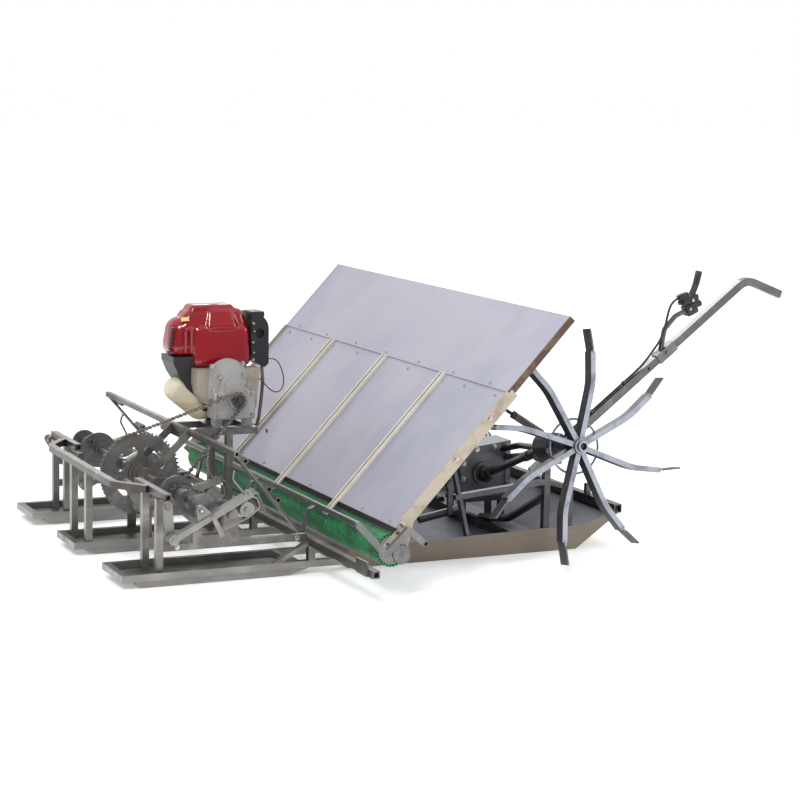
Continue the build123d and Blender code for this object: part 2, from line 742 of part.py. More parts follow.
def engine_stand():
    """Square-tube platform hung under the top beam, two front posts, and two slanted legs
    with the crankshaft's middle bearings."""
    rail = platform_rail
    top = top_beam_z - top_beam_size / 2
    rail_z = (top - rail, top)
    rear = top_beam_x - top_beam_size / 2
    solid = None
    for y_low in (platform_right, platform_left - rail):
        side_bar = block((rear, platform_front), (y_low, y_low + rail), rail_z)
        solid = side_bar if solid is None else solid + side_bar
    cross_y = (platform_right + rail - 1, platform_left - rail + 1)
    for x_low in (rear, stand_far_post_x - rail / 2, platform_front - rail):
        solid += block((x_low, x_low + rail), cross_y, rail_z)
    posts = ((stand_near_post_x, stand_near_post_y, deck_top), (stand_far_post_x, stand_far_post_y, deck_top))
    for x, y, foot in posts:
        y_range = (y - rail / 2, y + rail / 2)
        solid += block((x - rail / 2, x + rail / 2), y_range, (foot, rail_z[0] + 1))
    for _, side in SIDES:
        y_leg = y_span(side, middle_bearing_y - middle_bearing_width / 2, middle_bearing_y + middle_bearing_width / 2)
        solid += block((shaft_x - 10, shaft_x + 10), y_leg, (deck_top, shaft_z))
        solid += y_rod(shaft_x, shaft_z, bearing_radius, *y_leg)
        y_mid = side * middle_bearing_y
        leg_top = (top_beam_x, y_mid, top_beam_z)
        solid += bar((shaft_x, y_mid, shaft_z), leg_top, middle_bearing_width, 16)
        solid -= y_rod(shaft_x, shaft_z, shaft_radius + running_fit, *y_leg)
    return solid


# ---------------------------------------------------------------- hull and side frames


def hull():
    """Open pan with a sloping bow."""
    profile = ((hull_rear, 0), (hull_bow_foot, 0), (hull_bow_tip, hull_bow_rise)) + hull_side_heights
    solid = outline(profile, -hull_half_width, hull_half_width)
    slope = hull_bow_rise / (hull_bow_tip - hull_bow_foot)
    lift = hull_wall * sqrt(1 + slope**2)
    inner_foot = hull_bow_foot + (hull_wall - lift) / slope
    beyond = hull_bow_tip + 20
    inside = (
        (hull_rear + hull_wall, hull_wall),
        (inner_foot, hull_wall),
        (beyond, hull_bow_rise + slope * (beyond - hull_bow_tip) + lift),
        (beyond, 300),
        (hull_rear + hull_wall, 300),
    )
    inner_half = hull_half_width - hull_wall
    return solid - outline(inside, -inner_half, inner_half)


def tray_point(s, n):
    """X and Z of a point given up the tray's slope and square to it."""
    angle = radians(tray_angle)
    return (
        tray_foot_x + s * cos(angle) - n * sin(angle),
        tray_foot_z + s * sin(angle) + n * cos(angle),
    )


guide_rail_n = -(tray_sheet + shoe_height + seat_gap + guide_rail_size / 2)
retaining_rod_n = rib_height + seat_gap + retaining_rod_radius


def guide_rail():
    """Square rail along Y that the tray's shoes slide on."""
    x, z = tray_point(guide_rail_s, guide_rail_n)
    place = Pos(x, 0, z) * Rot(0, -tray_angle, 0)
    return place * Box(guide_rail_size, 2 * guide_rail_half_length, guide_rail_size)


def retaining_rod():
    """Round tube across the tray's foot, on three bent straps from the crossbeam."""
    x, z = tray_point(retaining_rod_s, retaining_rod_n)
    solid = y_rod(x, z, retaining_rod_radius, -retaining_rod_half_length, retaining_rod_half_length)
    for centre_y in (-skid_pitch, 0, skid_pitch):
        beam_top = crossbeam_z + crossbeam_size / 2
        points = ((crossbeam_x + 2, centre_y, beam_top - 3), (crossbeam_x + 13, centre_y, z - 10), (x, centre_y, z))
        solid += bent_tube(points, 8, Rectangle(16, 4))
    for y_end, inward in ((-retaining_rod_half_length, 1), (retaining_rod_half_length, -1)):
        low, high = sorted((y_end, y_end + inward * tube_mouth))
        solid -= y_rod(x, z, retaining_rod_radius - tube_wall, low, high)
    return solid


bracket_top = 221.0          # top of the bracket under the wheel's housing


def side_frame(side):
    """Leaning post to the guide rail, low rail and two upright posts, inside the hull's wall."""
    y = side * side_frame_y
    size = side_frame_size
    rail_x, rail_z = tray_point(guide_rail_s, guide_rail_n)
    solid = bar((826, y, hull_wall - 3), (rail_x, y, rail_z), size, 8)
    solid += bar((780, y, 138), (1010, y, 160), size, 12)
    for x, top in ((1012.0, bracket_top), (1072.0, 146.0)):
        solid += block((x - size / 2, x + size / 2), (y - size / 2, y + size / 2), (hull_wall, top))
    solid += block((hub_x - 8, 1012 + size / 2), y_span(side, side_frame_y - size / 2, 424), (bracket_top - 12, bracket_top))
    solid += bar((1010, y, 160), (1072, y, 141), size, 10)
    return solid - block((700, 1100), (y - 20, y + 20), (-20, hull_wall))


def hull_crossmembers():
    """Floor bar with an upswept tube to each side frame, and the gearbox's cradle."""
    inner_half = hull_half_width - hull_wall
    solid = block((978, 992), (-inner_half, inner_half), (hull_wall, 25))
    side_face = side_frame_y - side_frame_size / 2
    for _, side in SIDES:
        points = ((987, side * 105, 27), (989, side * 240, 50), (1004, side * (side_face + 2), 120))
        solid += bent_tube(points, 90, Circle(9))
    for y in (gearbox_right + 8, gearbox_left - 8):
        solid += block((962, 1088), (y - 6, y + 6), (gearbox_floor - 12, gearbox_floor))
        for x in (972, 1076):
            solid += block((x - 7, x + 7), (y - 6, y + 6), (hull_wall, gearbox_floor - 12))
    return solid


def bow_bar():
    """Square bar across the bow with open ends and two short upright lugs."""
    half = bow_bar_size / 2
    x_span = (bow_bar_x - half, bow_bar_x + half)
    z_span = (bow_bar_z - half, bow_bar_z + half)
    solid = block(x_span, (-bow_bar_half_length, bow_bar_half_length), z_span)
    for _, side in SIDES:
        solid -= square_mouth(bow_bar_x, bow_bar_z, bow_bar_size, side * bow_bar_half_length, -side)
        solid += block((bow_bar_x - 6, bow_bar_x + 6), y_span(side, 239, 251), (z_span[1], z_span[1] + 24))
    return solid


# ---------------------------------------------------------------- wheels and their drive

axle_tilt = radians(camber)


def axle_point(distance, side=RIGHT):
    """A point on a wheel's axle, inward from its hub."""
    return (hub_x, side * (hub_y - distance * cos(axle_tilt)), hub_z - distance * sin(axle_tilt))


def wheel_place():
    """Location of the right wheel's own drawing, hub at its origin and axle along Y."""
    return Pos(hub_x, -hub_y, hub_z) * Rot(-camber, 0, 0)


def wheel(side):
    """Hub, axle, eight bent spokes with paddle tips, and an inner hoop."""
    bend = radians(spoke_bend)
    solid = y_rod(0, 0, hub_radius, -hub_length / 2, hub_length / 2)
    for angle, longer in spokes:
        straight = spoke_bend_at + longer
        outer = (straight + spoke_after_bend * cos(bend), spoke_after_bend * sin(bend))
        path = FilletPolyline((hub_radius - 6, 0), (straight, 0), outer, radius=spoke_bend_radius)
        paddle = Pos(*outer) * Rot(0, 0, spoke_bend + paddle_turn)
        paddle *= Pos(paddle_length / 2 - 4, 0) * Rectangle(paddle_length, paddle_thickness)
        turn = Rot(0, 0, angle)
        solid += y_prism(turn * trace(path, line_width=spoke_width), -spoke_depth / 2, spoke_depth / 2)
        solid += y_prism(turn * paddle, -paddle_depth / 2, paddle_depth / 2)
    hoop_y = spoke_depth / 2 + hoop_wire / 2
    hoop = Pos(0, hoop_y, 0) * Rot(90, 0, 0) * Torus(hoop_radius, hoop_wire)
    solid += hoop
    ring_face = -hub_length / 2 - hub_ring_length
    solid += y_rod(0, 0, hub_ring_radius, ring_face, -hub_length / 2)
    solid -= y_rod(0, 0, hub_hole_radius, ring_face, -hub_length / 2 + 6)
    solid += y_rod(0, 0, axle_radius, 0, axle_end)
    return mirrored(wheel_place() * solid, side)


def wheel_housing(side):
    """Final drive housing with the axle's bearing boss."""
    inner = y_rod(0, 0, housing_radius, housing_outer, housing_inner)
    inner += y_rod(0, 0, housing_radius - 7, housing_inner, housing_inner + 8)
    inner += y_rod(0, 0, housing_boss_radius, housing_outer - housing_boss_length, housing_outer)
    bore_end = axle_end + 5
    inner -= y_rod(0, 0, axle_radius + running_fit, housing_outer - housing_boss_length, bore_end)
    return mirrored(wheel_place() * inner, side)


def drive_shaft(side):
    """Ball joint on the gearbox, universal joint and shaft to the wheel's housing."""
    face_y = gearbox_right if side == RIGHT else gearbox_left
    ball_y = face_y + side * 14
    solid = y_rod(ball_x, ball_z, 15, *sorted((face_y, ball_y)))
    solid += Pos(ball_x, ball_y, ball_z) * Sphere(ball_radius)
    solid -= block((900, 1100), sorted((face_y, face_y - side * 20)), (60, 200))
    start = Vector(ball_x, ball_y, ball_z)
    end = Vector(*axle_point(housing_inner - 2, side)) + Vector(6, 0, -4)
    run = (end - start).normalized()
    solid += rod(tuple(start), tuple(end), drive_shaft_radius)
    for distance, radius, length in ((18.0, 13.0, 22.0), (240.0, 12.0, 24.0)):
        spot = start + run * distance
        solid += rod(tuple(spot), tuple(spot + run * length), radius)
    return solid


def suspension_arm(side):
    """Two tubes from the gearbox that meet at the wheel's housing."""
    face_y = gearbox_right if side == RIGHT else gearbox_left
    meet = Vector(*axle_point(housing_inner - 26, side)) + Vector(20, 0, -12)
    upper = ((1076, face_y - side * 3, 176), (1098, face_y + side * 40, 190), tuple(meet))
    solid = bent_tube(upper, 30, Circle(arm_tube_radius))
    lower_start = (1088, face_y - side * 3, 154)
    return solid + rod(lower_start, (meet.X, meet.Y, meet.Z - 4), arm_tube_radius)


def spring_strut(side):
    """Bent rod with its coil, from the wheel's housing up to the guide rail."""
    foot = Vector(*axle_point(housing_inner - 26, side)) + Vector(-12, 0, housing_radius - 6)
    rail_x, rail_z = tray_point(guide_rail_s, guide_rail_n)
    bend = (872, side * 394, 344)
    solid = bent_tube((tuple(foot), bend, (rail_x + 4, side * 380, rail_z)), 120, Circle(4))
    run = (Vector(*bend) - foot).normalized()
    # columns: distance from the foot to each end of the coil and its cap, radius
    for low, high, radius in ((8.0, 84.0, 7.5), (84.0, 92.0, 9.0)):
        solid += rod(tuple(foot + run * low), tuple(foot + run * high), radius)
    return solid


def gearbox():
    """Gear case with sloping shoulders, a bolted flange on each side and a rear boss."""
    profile = ((968, gearbox_floor), (1096, gearbox_floor), (1096, 196), (992, 184), (960, 150))
    solid = outline(profile, gearbox_right + 6, gearbox_left - 6)
    face = make_face(Polyline(*profile, close=True))
    inner = offset(face, -14)
    for low, high in ((gearbox_right, gearbox_right + 6), (gearbox_left - 6, gearbox_left)):
        solid += y_prism(face - inner, low, high)
    solid += y_prism(inner, gearbox_right + 3, gearbox_left - 3)
    solid += rod((975, gearbox_mid_y, 112), (946, gearbox_mid_y, 112), 16)
    return solid


def idler_arm():
    """Tube from the gearbox's cradle that carries the belt idler."""
    points = ((964, gearbox_right + 8, 56), (880, -200, 72), (776, -200, 54))
    solid = bent_tube(points, 40, Circle(9))
    solid += block((844, 856), (-214, -208), (62, 140))
    solid += y_rod(850, 132, 10, -214, -208)
    solid += y_rod(850, 132, 4, -208, -190)
    # columns: radius, low Y, high Y of the pulley's rims and groove
    for radius, low, high in ((18.0, -206.0, -202.0), (14.0, -202.0, -197.0), (18.0, -197.0, -193.0)):
        solid += y_rod(850, 132, radius, low, high)
    return solid




# ---------------------------------------------------------------- handle


def handle():
    """Square tube from the bow bar, bent at its upper end."""
    points = [(x, 0, z) for x, z in (handle_foot, handle_bend_point, handle_end)]
    solid = bent_tube(points, handle_bend_radius, Rectangle(handle_size, handle_size))
    end = Vector(handle_end[0], 0, handle_end[1])
    run = (Vector(handle_bend_point[0], 0, handle_bend_point[1]) - end).normalized()
    inner = handle_size - 2 * tube_wall
    solid -= bar(tuple(end), tuple(end + run * tube_mouth), inner, inner)
    hole = handle_spot(pin_hole_x)
    return solid - y_rod(hole.X, hole.Z, pin_hole_radius, -handle_size, handle_size)


handle_run = Vector(handle_bend_point[0] - handle_foot[0], 0, handle_bend_point[1] - handle_foot[1])


def handle_spot(x, above=0.0):
    """Point over the handle's straight run at a given X, raised square to it."""
    share = (x - handle_foot[0]) / handle_run.X
    unit = handle_run.normalized()
    return Vector(x, 0, handle_foot[1] + share * handle_run.Z) + Vector(-unit.Z, 0, unit.X) * above


def handle_sleeve():
    """Clamping sleeve that joins the two lengths of the handle, with its bolt."""
    unit = handle_run.normalized()
    middle = handle_spot(1551)
    start, end = middle - unit * (sleeve_length / 2), middle + unit * (sleeve_length / 2)
    solid = bar(tuple(start), tuple(end), sleeve_size, sleeve_size)
    solid -= bar(tuple(start), tuple(end), handle_size, handle_size)
    solid += y_rod(middle.X, middle.Z, 5, -sleeve_size / 2 - 4, -sleeve_size / 2)
    solid += y_rod(middle.X, middle.Z, 5, sleeve_size / 2, sleeve_size / 2 + 4)
    return solid


def lever_tube():
    """Thin bent tube that carries the clutch lever."""
    foot = handle_spot(1546, sleeve_size / 2 - 1)
    points = (tuple(foot), (1548, 0, 446), (1578, 0, 478), (1616, 0, 494))
    return bent_tube(points, 16, Circle(lever_tube_radius))


def clutch_lever():
    """Perch clamped on the lever tube, with its lever."""
    solid = bar((1606, 0, 489), (1634, 0, 501), 26, 26)
    solid += bar((1600, 0, 512), (1640, 0, 520), 20, 26)
    solid += bar((1588, 0, 524), (1612, 0, 530), 12, 16)
    solid += bent_tube(((1622, 0, 525), (1634, 0, 553), (1643, 0, 590)), 30, Rectangle(16, 9))
    return solid - rod((1570, 0, 473.4), (1660, 0, 511.9), lever_tube_radius)


# ---------------------------------------------------------------- seedling tray and feed roller


def tray_location():
    """Location of the tray's own drawing: X up the slope, Y across, Z square to it."""
    angle = radians(tray_angle)
    plane = Plane(
        origin=(tray_foot_x, tray_centre_y, tray_foot_z),
        x_dir=(cos(angle), 0, sin(angle)),
        z_dir=(-sin(angle), 0, cos(angle)),
    )
    return plane.location


half_tray = tray_width / 2
tray_right_y, tray_left_y = tray_centre_y - half_tray, tray_centre_y + half_tray


def tray_lower():
    """Lower panel with side flanges, a cross stiffener, shoes and the roller's end plates."""
    solid = block((0, lower_panel_length), (-half_tray, half_tray), (-tray_sheet, 0))
    for side in (RIGHT, LEFT):
        flange = y_span(side, half_tray - flange_thickness, half_tray)
        solid += block((0, lower_panel_length), flange, (-flange_depth, 0))
        solid += block((0, upper_panel_start), flange, (-1, rib_height))
        shoe = y_span(side, 180, 220)
        solid += block((guide_rail_s - 25, guide_rail_s + 25), shoe, (-tray_sheet - shoe_height, -tray_sheet))
    solid += block((50, 70), (-half_tray + flange_thickness, half_tray - flange_thickness), (-12, -tray_sheet))
    solid = tray_location() * solid
    for y_low in (tray_right_y, tray_left_y - flange_thickness):
        plate = (
            tray_point(34, -4),
            tray_point(-46, -2),
            tray_point(-46, -16),
            (roller_x - 16, roller_z - 3),
            (roller_x + 16, roller_z - 3),
            tray_point(34, -flange_depth),
        )
        y_range = (y_low, y_low + flange_thickness)
        solid += outline(plate, *y_range) + y_rod(roller_x, roller_z, 17, *y_range)
        solid -= y_rod(roller_x, roller_z, roller_shaft_radius + running_fit, *y_range)
    return solid


def tray_ribs():
    """Ribs between the lanes, reaching past the tray's lower edge."""
    ribs = []
    for lane in (-1, 0, 1):
        y = lane * row_pitch
        across = (y - rib_width / 2, y + rib_width / 2)
        rib = block((0, upper_panel_start), across, (0, rib_height))
        rib += block((-rib_tail, 1), across, (rib_tail_lift, rib_height))
        groove = block((-rib_tail, upper_panel_start), (y - 4, y + 4), (rib_height - 2, rib_height))
        ribs.append(tray_location() * (rib - groove))
    return Compound(children=ribs)


def tray_upper():
    """Upper panel, lapped over the lower one, with folded edges."""
    solid = block((upper_panel_start, upper_panel_end), (-half_tray, half_tray), (0, 3))
    fold = 3.0
    for side in (RIGHT, LEFT):
        edge = y_span(side, half_tray - fold, half_tray)
        solid += block((lower_panel_length, upper_panel_end), edge, (-upper_flange_depth, 0))
    solid += block((upper_panel_end - fold, upper_panel_end), (-half_tray, half_tray), (-upper_flange_depth, 0))
    solid = tray_location() * solid
    return solid


def feed_lever():
    """Zigzag ratchet lever on the tray's right side, with a square hole at its end."""
    corners = ((396, 170), (459, 105), (509, 151), (546, 121))
    outer_y = tray_right_y - ratchet_gap * 2 - ratchet_thickness
    face = None
    for (x1, z1), (x2, z2) in zip(corners, corners[1:]):
        place = Pos((x1 + x2) / 2, (z1 + z2) / 2) * Rot(0, 0, degrees(atan2(z2 - z1, x2 - x1)))
        run = place * SlotOverall(hypot(x2 - x1, z2 - z1) + lever_width, lever_width)
        face = run if face is None else face + run
    face -= Pos(corners[-1]) * Rot(0, 0, -42) * Rectangle(9, 9)
    solid = y_prism(face, outer_y - lever_thickness, outer_y)
    for x, z in ((476, 120), (497, 141)):
        solid += y_rod(x, z, 4, outer_y, tray_right_y)
    return solid


def feed_roller():
    """Mesh-covered feed roller on its shaft."""
    low, high = tray_right_y + roller_end_gap, tray_left_y - roller_end_gap
    solid = y_rod(roller_x, roller_z, roller_radius, low, high)
    shaft_low = tray_right_y - ratchet_gap - ratchet_thickness
    return solid + y_rod(roller_x, roller_z, roller_shaft_radius, shaft_low, tray_left_y + 6)


def ratchet_wheel():
    """Fine-toothed wheel on the roller's right end."""
    points = []
    for tooth in range(ratchet_teeth):
        for share, radius in ((0.0, ratchet_radius), (0.85, ratchet_radius - 2.5)):
            angle = radians((tooth + share) * 360 / ratchet_teeth)
            points.append((roller_x + radius * cos(angle), roller_z + radius * sin(angle)))
    high = tray_right_y - ratchet_gap
    solid = outline(points, high - ratchet_thickness, high)
    return solid - y_rod(roller_x, roller_z, roller_shaft_radius, high - ratchet_thickness, high)


# ---------------------------------------------------------------- engine


platform_top = top_beam_z - top_beam_size / 2
case_floor = platform_top + 18.0
engine_left = 158.0          # the engine's far side


def rounded_block(x, y, z, radius):
    """Block with all its edges rounded."""
    solid = block(x, y, z)
    return fillet(solid.edges(), radius)


def moulded_block(x, y, z, corner, top_radius):
    """Block with rounded upright corners and a rounded top."""
    centre = Pos((x[0] + x[1]) / 2, (y[0] + y[1]) / 2, z[0])
    solid = centre * extrude(RectangleRounded(x[1] - x[0], y[1] - y[0], corner), z[1] - z[0])
    top = solid.edges().group_by(Axis.Z)[-1]
    return fillet(top, top_radius)


def tank_envelope():
    """Tilted capsule of the fuel tank."""
    (x1, z1), (x2, z2) = tank_upper, tank_lower
    place = Pos((x1 + x2) / 2, (z1 + z2) / 2) * Rot(0, 0, degrees(atan2(z2 - z1, x2 - x1)))
    face = place * SlotOverall(hypot(x2 - x1, z2 - z1) + tank_thickness, tank_thickness)
    return y_prism(face, tank_right, tank_left)


tank_upper, tank_lower = (292.0, 335.0), (346.0, 291.0)
tank_thickness = 56.0
tank_right, tank_left = 66.0, 122.0


def fuel_tank():
    """Translucent tank slung under the engine's rear half, with its filler cap."""
    solid = tank_envelope()
    solid = fillet(solid.edges().filter_by(Axis.Y, reverse=True), 20)
    cap_x, cap_z = tank_upper
    return solid + y_rod(cap_x, cap_z, 14, tank_left - 1, tank_left + 10)


def engine_core():
    """Crankcase, cylinder and starter cover as one mass, on its feet."""
    solid = block((346, 452), (64, engine_left - 8), (case_floor + 14, 410))
    cover = (
        (274, 414),
        (274, 400),
        (286, 372),
        (306, 342),
        (352, 300),
        (440, 300),
        (440, 414),
    )
    solid += outline(cover, 64, engine_left - 8)
    for x in (stand_far_post_x + 20, platform_front - platform_rail - 4):
        solid += block((x - 9, x + 9), (118, 130), (platform_top, case_floor + 16))
    return solid - tank_envelope()


def reduction_housing():
    """Cast reduction case: lower box, bearing lump, upper plate and the output gear's room."""
    solid = rounded_block((353, 454), (8, 58), (case_floor, 336), 5)
    solid += y_rod(engine_shaft_x, engine_shaft_z, output_case_radius, 12, 58)
    lump = ((360, 330), (368, 356), (376, 372), (388, 380), (414, 378), (430, 360), (446, 330))
    solid += outline(lump, 12, 24)
    plate = Pos(387.5, 367) * Circle(46)
    plate += Pos(387.5, 344) * Rectangle(92, 46)
    solid += y_prism(plate, 16, 24)
    for x in (stand_far_post_x + 4, platform_front - platform_rail):
        solid += block((x - 9, x + 9), (24, 48), (platform_top, case_floor + 8))
    solid += y_rod(engine_shaft_x, engine_shaft_z, 17, 2, 12)
    low, high = output_gear
    room = (low - output_gear_room, high + output_gear_room)
    solid -= y_rod(engine_shaft_x, engine_shaft_z, output_gear_radius + output_gear_room, *room)
    return solid - y_rod(engine_shaft_x, engine_shaft_z, engine_shaft_radius + running_fit, 0, output_shaft_end + 1)


def crankcase_cover():
    """Rounded alloy crankcase behind the reduction case."""
    face = (
        (317, 388),
        (316, 354),
        (322, 330),
        (338, 308),
        (366, 296),
        (462, 296),
        (470, 388),
    )
    return outline(face, 24, 64)


def engine_shroud():
    """Moulded top cover: front body, rounded rear lobe, skirt, raised hood and cap."""
    solid = moulded_block((330, 462), (46, engine_left), (414, 480), 16, 14)
    solid += moulded_block((266, 400), (58, engine_left - 6), (414, 496), 42, 24)
    solid += block((317, 461), (46, engine_left - 2), (388, 416))
    solid += moulded_block((296, 452), (70, engine_left - 12), (470, 522), 24, 18)
    solid += moulded_block((316, 436), (82, engine_left - 24), (514, 532), 22, 9)
    ramp = make_face(Plane.YZ * Polyline((60, 476), (84, 476), (90, 514), (78, 506), close=True))
    solid += Pos(346, 0, 0) * extrude(ramp, 84)
    return solid


def air_cleaner():
    """Filter case at the front of the engine, with a round inlet on its right face."""
    face = make_face(
        Polyline((461, 402), (461, 510), (504, 510), (504, 392), (494, 384), close=True)
    )
    corner = face.vertices().sort_by(lambda vertex: vertex.X + vertex.Y)[-1]
    face = fillet(corner, 38)
    solid = y_prism(face, 56, engine_left - 26)
    solid += y_rod(474, 498, 14, 70, engine_left - 40)
    return solid - y_rod(482, 464, 11, 56, 68)


# ---------------------------------------------------------------- cables and wires


def cable_run():
    """Clutch cable's held length: clipped along the handle's top, then into the gearbox."""
    points = (
        handle_spot(cable_run_top, cable_lift),
        handle_spot(1240, cable_lift),
        (1190, -6, 140),
        (1096, -6, 150),
    )
    solid = bent_tube([tuple(point) for point in points], 30, Circle(cable_radius))
    for x in (1440, 1350, 1265):
        clip = (handle_spot(x, handle_size / 2 + 2.5), handle_spot(x + 6, handle_size / 2 + 2.5))
        solid += bar(tuple(clip[0]), tuple(clip[1]), 16, 5)
    return solid


def throttle_conduit():
    """Stiff conduit from the air cleaner down the engine's front to its stand."""
    points = ((490, 64, 386), (490, 56, 352), (485, 52, 310), (479, 50, 268), (474, 50, 250), (458, 50, 246))
    return bent_tube(points, 8, Circle(4))


def cord(points, radius):
    """Free cable through hand-placed points, each arc as large as its two runs allow."""
    corners = [Vector(*point) for point in points]
    radii = []
    for before, corner, after in zip(corners, corners[1:], corners[2:]):
        first, second = corner - before, after - corner
        turn = radians(first.get_angle(second))
        radii.append(0.45 * min(first.length, second.length) / tan(turn / 2))
    path = FilletPolyline(*corners, radius=radii)
    solid = sweep(Plane(origin=path @ 0, z_dir=path % 0) * Circle(radius), path=path)
    print("cord length", round(path.length, 1), "radii", [round(value) for value in radii])
    print("cord volume against section times length", round(solid.volume / (pi * radius**2 * path.length), 4))
    return solid


clutch_cable_points = (
    (1588, 0, 524),
    (1568, -4, 517),
    (1553, -9, 496),
    (1545, -13, 471),
    (1538, -15, 446),
    (1528, -14, 420),
    (1512, -10, 396),
    (1495, -6, 371),
    (1476, 0, 347.8),
    (1453.8, 0, 330.8),
)
ignition_wire_points = (
    (504, 66, 402),
    (517, 61, 404),
    (529, 57, 395),
    (536, 53, 378),
    (540, 50, 359),
    (539, 48, 341),
    (531, 47, 328),
    (517, 46, 325),
    (503, 45, 333),
    (491, 42, 345),
    (479, 42, 356),
    (468.6, 42, 367),
)

# ---------------------------------------------------------------- assembly


def together(*solids):
    """Like pieces of one body as one node."""
    return Compound(children=list(solids))


skid_solids = tuple(skids.values())
beam = crossbeam() - skid_solids[0] - skid_solids[1] - skid_solids[2]
upper_beam = top_beam()
rod_solid = retaining_rod() - beam
bars = [
    gate_bar(end_y, inward) - beam - upper_beam - rod_solid
    for end_y, inward in ((top_beam_right, 1), (top_beam_left, -1))
]
pan = hull()
rail = guide_rail()
bow = bow_bar() - pan
gear_case = gearbox()
housings, frames, shafts, arms, struts = [], [], [], [], []
for _, side in SIDES:
    housing = wheel_housing(side)
    side_solid = side_frame(side) - housing - rail - pan
    shaft = drive_shaft(side) - housing - side_solid - gear_case
    arm = suspension_arm(side) - housing - gear_case - shaft - side_solid
    strut = spring_strut(side) - housing - rail - arm - side_solid
    housings.append(housing)
    frames.append(side_solid)
    shafts.append(shaft)
    arms.append(arm)
    struts.append(strut)
members = hull_crossmembers() - frames[0] - frames[1] - gear_case
stand = engine_stand() - skid_solids[0] - upper_beam
case = reduction_housing() - stand
case_bulk = y_rod(engine_shaft_x, engine_shaft_z, output_case_radius, 12, 58)
crank_case = crankcase_cover() - case - case_bulk
core = engine_core() - crank_case - case - stand
shroud = engine_shroud() - core - crank_case - case
filter_case = air_cleaner() - shroud - crank_case - core

tube = handle() - bow - pan
sleeve = handle_sleeve()
small_tube = lever_tube() - sleeve - tube
lever_set = clutch_lever() - small_tube - tube

parts = {
    "skids": together(*skid_solids),
    "rear_rail": rear_rail(),
    "side_rails": together(*[side_rail(side) for _, side in SIDES]),
    "crankshaft": crankshaft(),
    "main_sprocket": main_sprocket(),
    "drive_chain": chain(
        chain_plane_y,
        (shaft_x, shaft_z, main_teeth),
        (engine_shaft_x, engine_shaft_z, engine_teeth),
    ),
    "feed_chain": chain(feed_plane_y, (shaft_x, shaft_z, feed_teeth), (counter_x, counter_z, feed_teeth)),
    "countershaft": countershaft(),
    "engine_sprocket": engine_sprocket(),
    "crossbeam": beam,
    "top_beam": upper_beam,
    "gate_bars": together(*bars),
    "engine_stand": stand,
    "hull": pan,
    "hull_crossmembers": members,
    "side_frames": together(*frames),
    "guide_rail": rail,
    "retaining_rod": rod_solid,
    "bow_bar": bow,
    "gearbox": gear_case,
    "idler_arm": idler_arm() - members - gear_case,
    "wheel_housings": together(*housings),
    "drive_shafts": together(*shafts),
    "suspension_arms": together(*arms),
    "spring_struts": together(*struts),
    "wheel_right": wheel(RIGHT),
    "wheel_left": wheel(LEFT),
    "handle": tube,
    "handle_sleeve": sleeve,
    "lever_tube": small_tube,
    "clutch_lever": lever_set,
    "tray_lower": tray_lower(),
    "tray_ribs": tray_ribs(),
    "tray_upper": tray_upper(),
    "feed_lever": feed_lever(),
    "feed_roller": feed_roller(),
    "ratchet_wheel": ratchet_wheel(),
    "engine_core": core,
    "reduction_housing": case,
    "crankcase_cover": crank_case,
    "engine_shroud": shroud,
    "fuel_tank": fuel_tank(),
    "air_cleaner": filter_case,
    "throttle_conduit": throttle_conduit() - filter_case - stand - crank_case,
    "cable_run": cable_run() - gear_case - tube - pan - bow,
    "clutch_cable": cord(clutch_cable_points, cable_radius) - lever_set,
    "ignition_wire": cord(ignition_wire_points, wire_radius) - filter_case - crank_case,
}
for index in range(len(rows)):
    parts[f"planting_arm_{index + 1}"] = planting_arm(index)
    parts[f"planting_claw_{index + 1}"] = planting_claw(index)
    parts[f"rocker_{index + 1}"] = rocker(index)

# ---------------------------------------------------------------- origin and export

boxes = [solid.bounding_box() for solid in parts.values()]
low_x, high_x = min(box.min.X for box in boxes), max(box.max.X for box in boxes)
low_y, high_y = min(box.min.Y for box in boxes), max(box.max.Y for box in boxes)
low_z = min(box.min.Z for box in boxes)
origin_shift = Vector(-(low_x + high_x) / 2, -(low_y + high_y) / 2, -low_z)

if __name__ == "__main__":
    for name, solid in parts.items():
        export_step(Pos(origin_shift) * solid, f"parts/{name}.step")
    print(len(parts), "nodes, origin shift", origin_shift)
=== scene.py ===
import json
import logging
import math
from dataclasses import dataclass
from enum import Enum
from typing import Callable, Iterable, Sequence

import bpy
from mathutils import Matrix, Vector


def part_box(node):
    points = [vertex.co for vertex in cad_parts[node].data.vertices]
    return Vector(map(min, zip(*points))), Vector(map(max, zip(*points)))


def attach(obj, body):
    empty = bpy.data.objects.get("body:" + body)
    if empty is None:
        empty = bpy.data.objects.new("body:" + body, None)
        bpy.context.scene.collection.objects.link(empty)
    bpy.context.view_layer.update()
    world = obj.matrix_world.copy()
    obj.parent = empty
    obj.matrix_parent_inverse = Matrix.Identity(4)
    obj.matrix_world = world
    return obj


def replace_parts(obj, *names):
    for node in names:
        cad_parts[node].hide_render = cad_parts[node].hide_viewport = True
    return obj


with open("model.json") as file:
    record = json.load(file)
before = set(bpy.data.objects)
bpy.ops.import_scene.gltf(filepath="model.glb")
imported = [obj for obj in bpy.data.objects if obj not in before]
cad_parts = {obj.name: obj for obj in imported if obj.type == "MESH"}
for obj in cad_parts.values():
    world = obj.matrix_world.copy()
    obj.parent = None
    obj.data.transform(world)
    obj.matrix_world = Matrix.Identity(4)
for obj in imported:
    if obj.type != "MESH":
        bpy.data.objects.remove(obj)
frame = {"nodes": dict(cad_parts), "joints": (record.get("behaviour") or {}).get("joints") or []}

LOG = logging.getLogger("rice_transplanter")
MM = 0.001
SHIFT_X = -946.789 * MM  # from the drawing's X = 0, the rear end, to the frame's origin
OUTWARD = Vector((0, -1, 0))  # the way a pattern's outer face looks
TRAY_SLOPE = math.radians(47)
